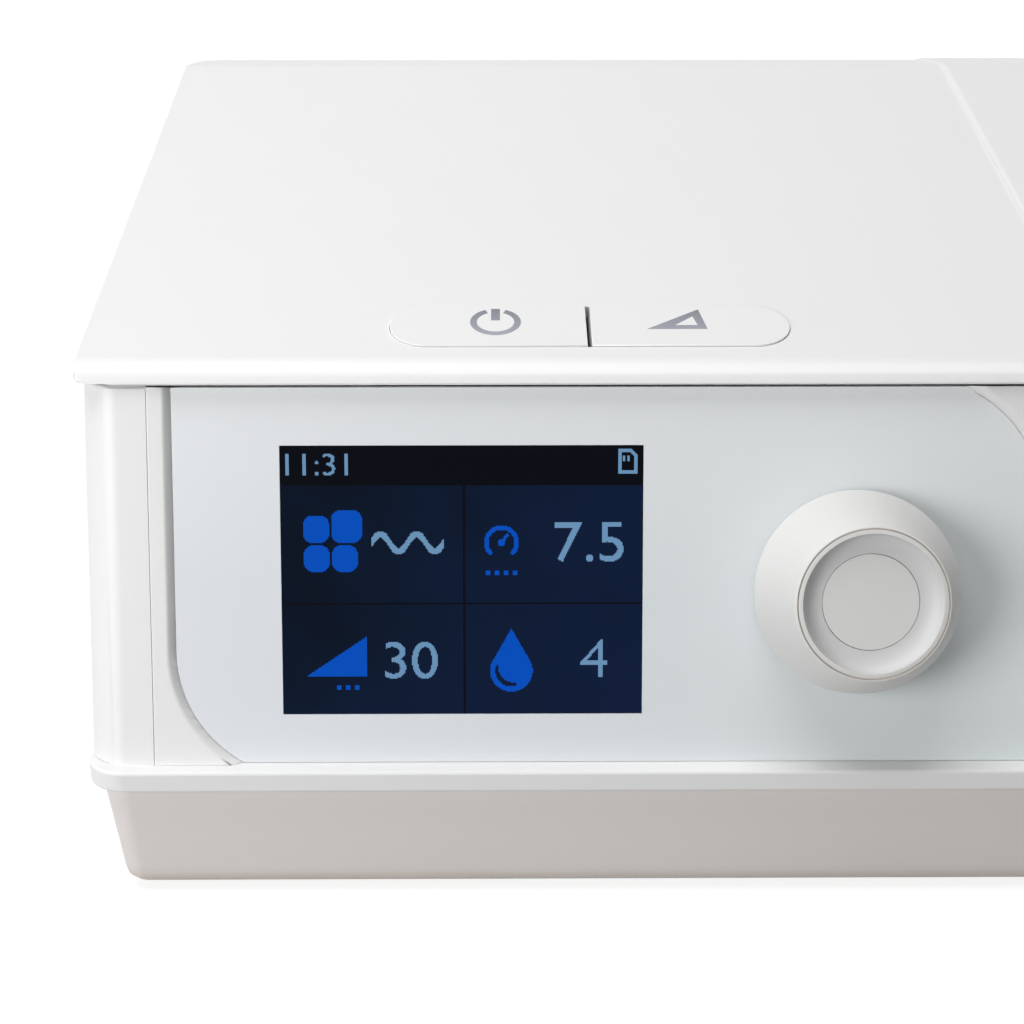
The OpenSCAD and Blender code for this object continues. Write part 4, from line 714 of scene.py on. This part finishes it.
def soften_crease(made):
    """Turns the step in the cover's surface into a ramp with round feet and shoulders."""
    crease = (SCREEN_MIDDLE.x / MM + CREASE_U) * MM
    raised = []
    for vertex in made.verts:
        if abs(vertex.co.x - crease) > 0.01 * MM:
            continue
        steps = [(edge.other_vert(vertex).co - vertex.co).x for edge in vertex.link_edges]
        if max(steps) > 5 * MM and min(steps) > -5 * MM:
            raised.append(vertex)
    for vertex in raised:
        vertex.co.x += CREASE_W * MM
    made.normal_update()
    ends = (crease, crease + CREASE_W * MM)
    soft = [edge for edge in made.edges
            if len(edge.link_faces) == 2 and math.radians(3) < edge.calc_face_angle(0) < math.radians(25)
            and any(all(abs(v.co.x - end) < 0.01 * MM for v in edge.verts) for end in ends)]
    bmesh.ops.bevel(made, geom=soft, offset=CREASE_SOFT * MM, offset_type="OFFSET", segments=3, profile=0.5,
                    affect="EDGES")


# ---------------------------------------------------------------- the screen's marks


def glyphs(text, left, top_edge, right, bottom, weight=0.0):
    """A test for the pixels that a plain number covers, and its box of pixels."""
    curve = bpy.data.curves.new("number", "FONT")
    curve.body = text
    curve.offset = weight
    holder = as_object("number", curve)
    mesh = bpy.data.meshes.new_from_object(holder.evaluated_get(bpy.context.evaluated_depsgraph_get()))
    bpy.data.objects.remove(holder)
    points = [vertex.co.copy() for vertex in mesh.vertices]
    tree = BVHTree.FromPolygons(points, [tuple(face.vertices) for face in mesh.polygons])
    low_x, high_x = min(q.x for q in points), max(q.x for q in points)
    low_y, high_y = min(q.y for q in points), max(q.y for q in points)

    def inside(x, y):
        across = low_x + (x - left) / (right - left) * (high_x - low_x)
        up = high_y - (y - top_edge) / (bottom - top_edge) * (high_y - low_y)
        return tree.ray_cast((across, up, 1), (0, 0, -1))[0] is not None

    return inside, (left, top_edge, right, bottom)


def soft_square(left, top_edge, right, bottom, r=8.5):
    """A rounded square of pixels."""

    def inside(x, y):
        dx = max(left + r - x, x - right + r, 0)
        dy = max(top_edge + r - y, y - bottom + r, 0)
        return math.hypot(dx, dy) <= r

    return inside, (left, top_edge, right, bottom)


def ramp_mark():
    """A wedge of pixels that rises to the right."""
    return (lambda x, y: y > 206 - (x - 21) * 36 / 54), (21, 170, 75, 206)


def drop_mark():
    """A water drop with a dark crescent at its lower left."""
    cx, cy, r = 203.6, 201.0, 19.0

    def inside(x, y):
        shine = math.hypot(x - cx, y - cy) < 14.5 and math.hypot(x - cx - 3.0, y - cy + 4.0) > 15.0
        if shine and y > cy - 5 and x < cx + 4:
            return False
        if y >= cy - 7:
            return math.hypot(x - cx, y - cy) <= r
        return abs(x - cx) <= (y - 163) / (cy - 7 - 163) * 17.6

    return inside, (184, 163, 223, 221)


def gauge_mark():
    """A plain dial with its needle."""
    cx, cy = 195.0, 86.0

    def inside(x, y):
        radius = math.hypot(x - cx, y - cy)
        angle = math.degrees(math.atan2(cy - y, x - cx))
        ring = 11.5 <= radius <= 15.5 and not -130 < angle < -50
        along = (x - cx) * 0.6 - (y - cy) * 0.8
        beside = (x - cx) * 0.8 + (y - cy) * 0.6
        return ring or radius <= 3.2 or (0 < along < 9.5 and abs(beside) < 1.4)

    return inside, (179, 70, 211, 102)


def wave_mark():
    """A plain breathing curve."""
    return (lambda x, y: abs(y - 86 + 7.5 * math.sin((x - 80) * math.pi / 16)) < 2.6 + 1.6 * abs(
        math.cos((x - 80) * math.pi / 16))), (80, 74, 144, 98)


def dots_mark(left, y0, count):
    """A row of small dots."""
    return (lambda x, y: (x - left) % 8 < 4), (left, y0, left + 8 * count - 4, y0 + 4)


def card_mark():
    """The outline of a card with a cut corner, and its contacts."""

    def inside(x, y):
        within = 298 <= x <= 315 and 3 <= y <= 25 and (x - 298) + (25 - y) <= 33
        core = 301 <= x <= 312 and 6 <= y <= 22 and (x - 301) + (22 - y) <= 23
        return within and (not core or (9 <= y <= 14 and (x - 302) % 4 < 2 and x < 309))

    return inside, (298, 3, 315, 25)


def pixel_marks(name, marks):
    """Raises the screen's lit pixels a hair, row by row."""
    sides = ((0, 2, 3, 1), (4, 5, 7, 6), (0, 1, 5, 4), (1, 3, 7, 5), (3, 2, 6, 7), (2, 0, 4, 6))
    made = bmesh.new()
    pitch = SCREEN_W / COLUMNS
    for inside, (left, top_edge, right, bottom) in marks:
        for row in range(round(top_edge), round(bottom)):
            first = None
            for column in range(round(left), round(right) + 1):
                on = column < right and inside(column + 0.5, row + 0.5)
                if on and first is None:
                    first = column
                if not on and first is not None:
                    u = [first * pitch - SCREEN_W / 2, column * pitch - SCREEN_W / 2]
                    v = [SCREEN_H / 2 - (row + 1) * pitch, SCREEN_H / 2 - row * pitch]
                    corners = [made.verts.new(front(a, b, n)) for n in (-0.005, 0.015) for b in v for a in u]
                    for side in sides:
                        made.faces.new([corners[i] for i in side])
                    first = None
    mesh = bpy.data.meshes.new(name)
    made.to_mesh(mesh)
    made.free()
    settle(as_object(name, mesh), [], "main_unit", name, "screen_glass")


def make_screen():
    """The screen's lit marks, each by its box of pixels."""
    squares = [(19.8, 61.5, 42.8, 86), (44.6, 56.8, 71.8, 86), (20.2, 88, 43, 111.8), (45, 88, 68, 111.8)]
    numbers = [("7.5", 242, 68, 303, 103), ("30", 91, 175, 138, 208), ("4", 265, 173, 289, 207, -0.01),
               ("11:31", 5, 7, 60, 26, -0.003)]
    dots = [(181, 111, 4), (48, 214, 3)]
    pixel_marks("blue_mark", [
        *(soft_square(*box) for box in squares), ramp_mark(), drop_mark(), gauge_mark(),
        *(dots_mark(*row) for row in dots)])
    pixel_marks("pale_mark", [*(glyphs(*number) for number in numbers), wave_mark(), card_mark()])


# ---------------------------------------------------------------- the knob and the keys


def make_knob():
    """The knob's turned body, with its lip, groove and dish, and its flat cap."""
    skirt_steps, dish_steps = 28, 12
    low, bore_r, cap_depth = 1.9, 3.05, 2.0
    profile = [[5.0, low], [5.0, 7.2], [8.8, 9.2], [13.4, 3.0],
               [14.4, 0.9], [15.2, 0.9], [15.7, 1.1], [16.15, low]]
    for i in range(skirt_steps + 1):
        t = i / skirt_steps
        profile.append([KNOB_R - (KNOB_R - KNOB_FRONT_R) * (0.3 * t + 0.7 * t * t),
                        KNOB_WIDE_H + (KNOB_H - KNOB_WIDE_H) * t])
    lip = KNOB_FRONT_R - LIP_IN
    groove = lip - GROOVE_W
    profile += [[lip + 0.10, KNOB_H + 0.02], [lip, KNOB_H + 0.04], [lip, KNOB_H - 0.25],
                [groove, KNOB_H - 0.25], [groove, KNOB_H - 0.03], [groove - 0.06, KNOB_H]]
    for i in range(dish_steps + 1):
        a = math.radians(90 * i / dish_steps)
        profile.append([CAP_R + (DISH_R - CAP_R) * math.cos(a), KNOB_H - DISH_DEPTH * math.sin(a)])
    floor_n = KNOB_H - DISH_DEPTH - cap_depth
    profile += [[CAP_R, floor_n], [bore_r, floor_n], [bore_r, low]]

    def place(x, y, z):
        return front(KNOB_U + x, KNOB_V + y, z)

    settle(lathe("knob_shell", profile, 160, place), "knob_body")
    top_n = KNOB_H - DISH_DEPTH
    cap = [[0, floor_n], [CAP_R - 0.08, floor_n], [CAP_R - 0.08, top_n - 0.14], [CAP_R - 0.13, top_n - 0.06],
           [CAP_R - 0.22, top_n - 0.05], [0, top_n - 0.05]]
    settle(lathe("knob_disc", cap, 96, place), "knob_cap")


def make_icons():
    """The marks printed on the two keys: an open ring with a bar, and an outlined wedge."""
    x, y, outer, inner, gap, steps, ink = 5.4, 13.5, 4.14, 3.04, 24, 60, 0.02
    start, end = 90 + gap, 450 - gap
    ring = arc(x, y, outer, start, end, steps) + arc(x, y, inner, end, start, steps)
    bar = [(4.68, 14.0), (6.12, 14.0), (6.12, 17.64), (4.68, 17.64)]
    wedge = [(29.9, 11.2), (39.7, 11.2), (38.7, 17.4)]
    hollow = [(34.5, 12.4), (38.2, 12.4), (37.6, 15.2)]
    marks = [("power_ring", [ring], "power_key"), ("power_bar", [bar], "power_key"),
             ("ramp_wedge", [wedge, hollow], "ramp_key")]

    def place(u, v, n):
        return top(u, v, KEY_PROUD + n)

    for name, outline, body in marks:
        settle(prism(name, outline, ink, place), [], body, "key_ink", "key_white")


# ---------------------------------------------------------------- pieces that repeat


def repeated(name, source, points, node_name, finish=None):
    """Copies one part onto each point with Geometry Nodes, as one mesh."""
    holder = as_object(name, bpy.data.meshes.new(name))
    holder.data.from_pydata(points, [], [])
    group = bpy.data.node_groups.new(name, "GeometryNodeTree")
    kinds = {"Points": "Geometry", "Part": "Object", "Size": "Float", "Finish": "Material"}
    sockets = {label: group.interface.new_socket(label, in_out="INPUT", socket_type="NodeSocket" + kind)
               for label, kind in kinds.items()}
    group.interface.new_socket("Geometry", in_out="OUTPUT", socket_type="NodeSocketGeometry")
    made = Tree(group)
    given = {label: made.node("NodeGroupInput", output=label) for label in kinds}
    shape = made.node("GeometryNodeObjectInfo", {}, {"Object": given["Part"]}, "Geometry")
    spread = made.node("GeometryNodeInstanceOnPoints", {}, {
        "Points": given["Points"], "Instance": shape, "Scale": given["Size"]}, "Instances")
    real = made.node("GeometryNodeRealizeInstances", {}, {"Geometry": spread}, "Geometry")
    painted = made.node("GeometryNodeSetMaterial", {}, {
        "Geometry": real, "Material": given["Finish"]}, "Geometry")
    made.node("NodeGroupOutput", {}, {"Geometry": painted})
    grow = holder.modifiers.new("repeat", "NODES")
    grow.node_group = group
    grow[sockets["Part"].identifier] = source
    grow[sockets["Size"].identifier] = 1.0
    grow[sockets["Finish"].identifier] = finishes[finish or slot_of[node_name]]
    piece = baked(holder)
    bpy.data.objects.remove(source)
    return settle(piece, node_name, finish=finish)


def coil_spring(r, wire, turns, height):
    """One coil spring with closed ends, standing on the origin."""
    steps, sides, flat = 24, 8, 0.8
    path = []
    for i in range(turns * steps + 1):
        a = 2 * math.pi * i / steps
        t = i / (turns * steps)
        rise = min(max((t * turns - flat) / (turns - 2 * flat), 0), 1)
        path.append(Vector((r * math.cos(a), r * math.sin(a), wire + (height - 2 * wire) * rise)))
    made = bmesh.new()
    rings = []
    for i, point in enumerate(path):
        ahead = path[min(i + 1, len(path) - 1)] - path[max(i - 1, 0)]
        side = Vector((point.x, point.y, 0)).normalized()
        up = side.cross(ahead).normalized()
        rings.append([made.verts.new(point + (side * math.cos(b) + up * math.sin(b)) * wire)
                      for b in (2 * math.pi * j / sides for j in range(sides))])
    for low, high in zip(rings, rings[1:]):
        for j in range(sides):
            k = (j + 1) % sides
            made.faces.new((low[j], low[k], high[k], high[j]))
    made.faces.new(rings[0])
    made.faces.new(rings[-1])
    bmesh.ops.recalc_face_normals(made, faces=made.faces)
    mesh = bpy.data.meshes.new("coil")
    made.to_mesh(mesh)
    made.free()
    smooth(mesh, 60)
    return as_object("coil", mesh)


def make_repeats():
    """The springs under the heater's plate, and the feet with their rings of ribs."""
    low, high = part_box("heater_springs")
    plate_low, plate_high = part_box("heater_plate")
    middle = (plate_low + plate_high) / 2
    ring, coil_r, wire, turns, travel = 26 * MM, 3.0 * MM, 0.45 * MM, 5, 1.2 * MM
    corners = [math.radians(a) for a in (90, 210, 330)]
    points = [(middle.x + ring * math.cos(a), middle.y + ring * math.sin(a), low.z) for a in corners]
    height = high.z - low.z
    springs = repeated("heater_coils", coil_spring(coil_r, wire, turns, height), points, "heater_springs")
    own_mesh(springs)

    low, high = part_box("rubber_feet")
    r = 7.95
    tall = high.z / MM
    profile = [[0, tall], [r, tall], [r, 0.45], [r - 0.15, 0.12], [r - 0.5, 0.0]]
    for ring_r in (6.2, 4.6, 3.0):
        profile += [[ring_r + 0.55, 0.0], [ring_r + 0.35, 0.35], [ring_r - 0.05, 0.35], [ring_r - 0.25, 0.0]]
    profile += [[0, 0.0]]
    foot = lathe("foot", profile, 48, lambda x, y, z: Vector((x, y, z)) * MM)
    places = [(x, y, 0) for x in (low.x + r * MM, high.x - r * MM) for y in (low.y + r * MM, high.y - r * MM)]
    repeated("ribbed_feet", foot, places, "rubber_feet")


def main():
    """Every piece that replaces a node or is added to it."""
    make_case()
    make_screen()
    make_knob()
    make_icons()
    make_repeats()


finishes = make_finishes()
main()

for node, piece in nodes.items():
    piece.data.materials.clear()
    piece.data.materials.append(finishes[slot_of[node]])

# ---------------------------------------------------------------- the studio

CAMERA = SCREEN_MIDDLE + Vector((6.3, -249.64, 93.12)) * MM
LOOK = Vector((0.00634, 0.9505, -0.31066))
LENS = 58.63
SENSOR = 36
NEAR = 0.01
FILL = 0.12
FLOOR_HALF = 12.0
LAMPS = {
    "overhead": {"place": (-0.25, -0.15, 1.0), "target": (-0.05, 0, 0.06), "size": 0.8, "power": 6.6},
    "left_front": {"place": (-0.50, -0.55, 0.20), "target": (-0.1, -0.08, 0.06), "size": 0.3, "power": 2.35},
}


def make_camera():
    """The camera, solved from the corners of the screen."""
    camera = bpy.data.cameras.new("camera")
    camera.lens = LENS
    camera.sensor_width = SENSOR
    camera.clip_start = NEAR
    made = as_object("camera", camera)
    made.location = CAMERA
    made.rotation_mode = "QUATERNION"
    made.rotation_quaternion = LOOK.to_track_quat("-Z", "Y")
    bpy.context.scene.camera = made


def make_lamp(name, place, target, size, power):
    """A round soft lamp that faces its target."""
    lamp = bpy.data.lights.new(name, "AREA")
    lamp.shape = "DISK"
    lamp.size = size
    lamp.energy = power
    made = as_object(name, lamp)
    made.location = place
    made.rotation_mode = "QUATERNION"
    made.rotation_quaternion = (Vector(target) - Vector(place)).to_track_quat("-Z", "Y")


def seen_plainly(made):
    """1 for the rays of the camera and of reflections, and 0 for the others."""
    camera_ray = made.node("ShaderNodeLightPath", output="Is Camera Ray")
    return camera_ray.math("MAXIMUM", made.node("ShaderNodeLightPath", output="Is Glossy Ray"))


def make_world(fill):
    """Even fill light, behind which rays of the camera and of reflections see plain white."""
    world = bpy.data.worlds.new("studio")
    world.use_nodes = True
    made = Tree(world.node_tree)
    background = made.tree.nodes["Background"]
    made.feed(background.inputs["Color"], (1, 1, 1))
    strength = made.node("ShaderNodeMapRange", {}, {
        "Value": seen_plainly(made), "To Min": fill, "To Max": 1.0})
    made.feed(background.inputs["Strength"], strength)
    bpy.context.scene.world = world


def make_floor():
    """A pale floor that keeps the machine's shadow and fades to plain white away from it."""
    mesh = bpy.data.meshes.new("floor")
    corners = [(x * FLOOR_HALF, y * FLOOR_HALF, 0) for x, y in ((-1, -1), (1, -1), (1, 1), (-1, 1))]
    mesh.from_pydata(corners, [], [(0, 1, 2, 3)])
    floor = as_object("floor", mesh)
    made = Finish("floor", (0.42, 0.42, 0.42), 0.9, Specular_IOR_Level=0.0, Emission_Strength=1.0)
    away = made.node("ShaderNodeMapRange", {"interpolation_type": "SMOOTHSTEP"}, {
        "Value": made.vector("LENGTH", made.place()), "From Min": 0.15, "From Max": 0.75,
        "To Min": 0.80, "To Max": 1.0})
    made.set("Emission Color", away * seen_plainly(made))
    floor.data.materials.append(made.material)


make_camera()
make_world(FILL)
make_floor()
for lamp_name, lamp_facts in LAMPS.items():
    make_lamp(lamp_name, **lamp_facts)
bpy.context.scene.view_settings.view_transform = "Standard"
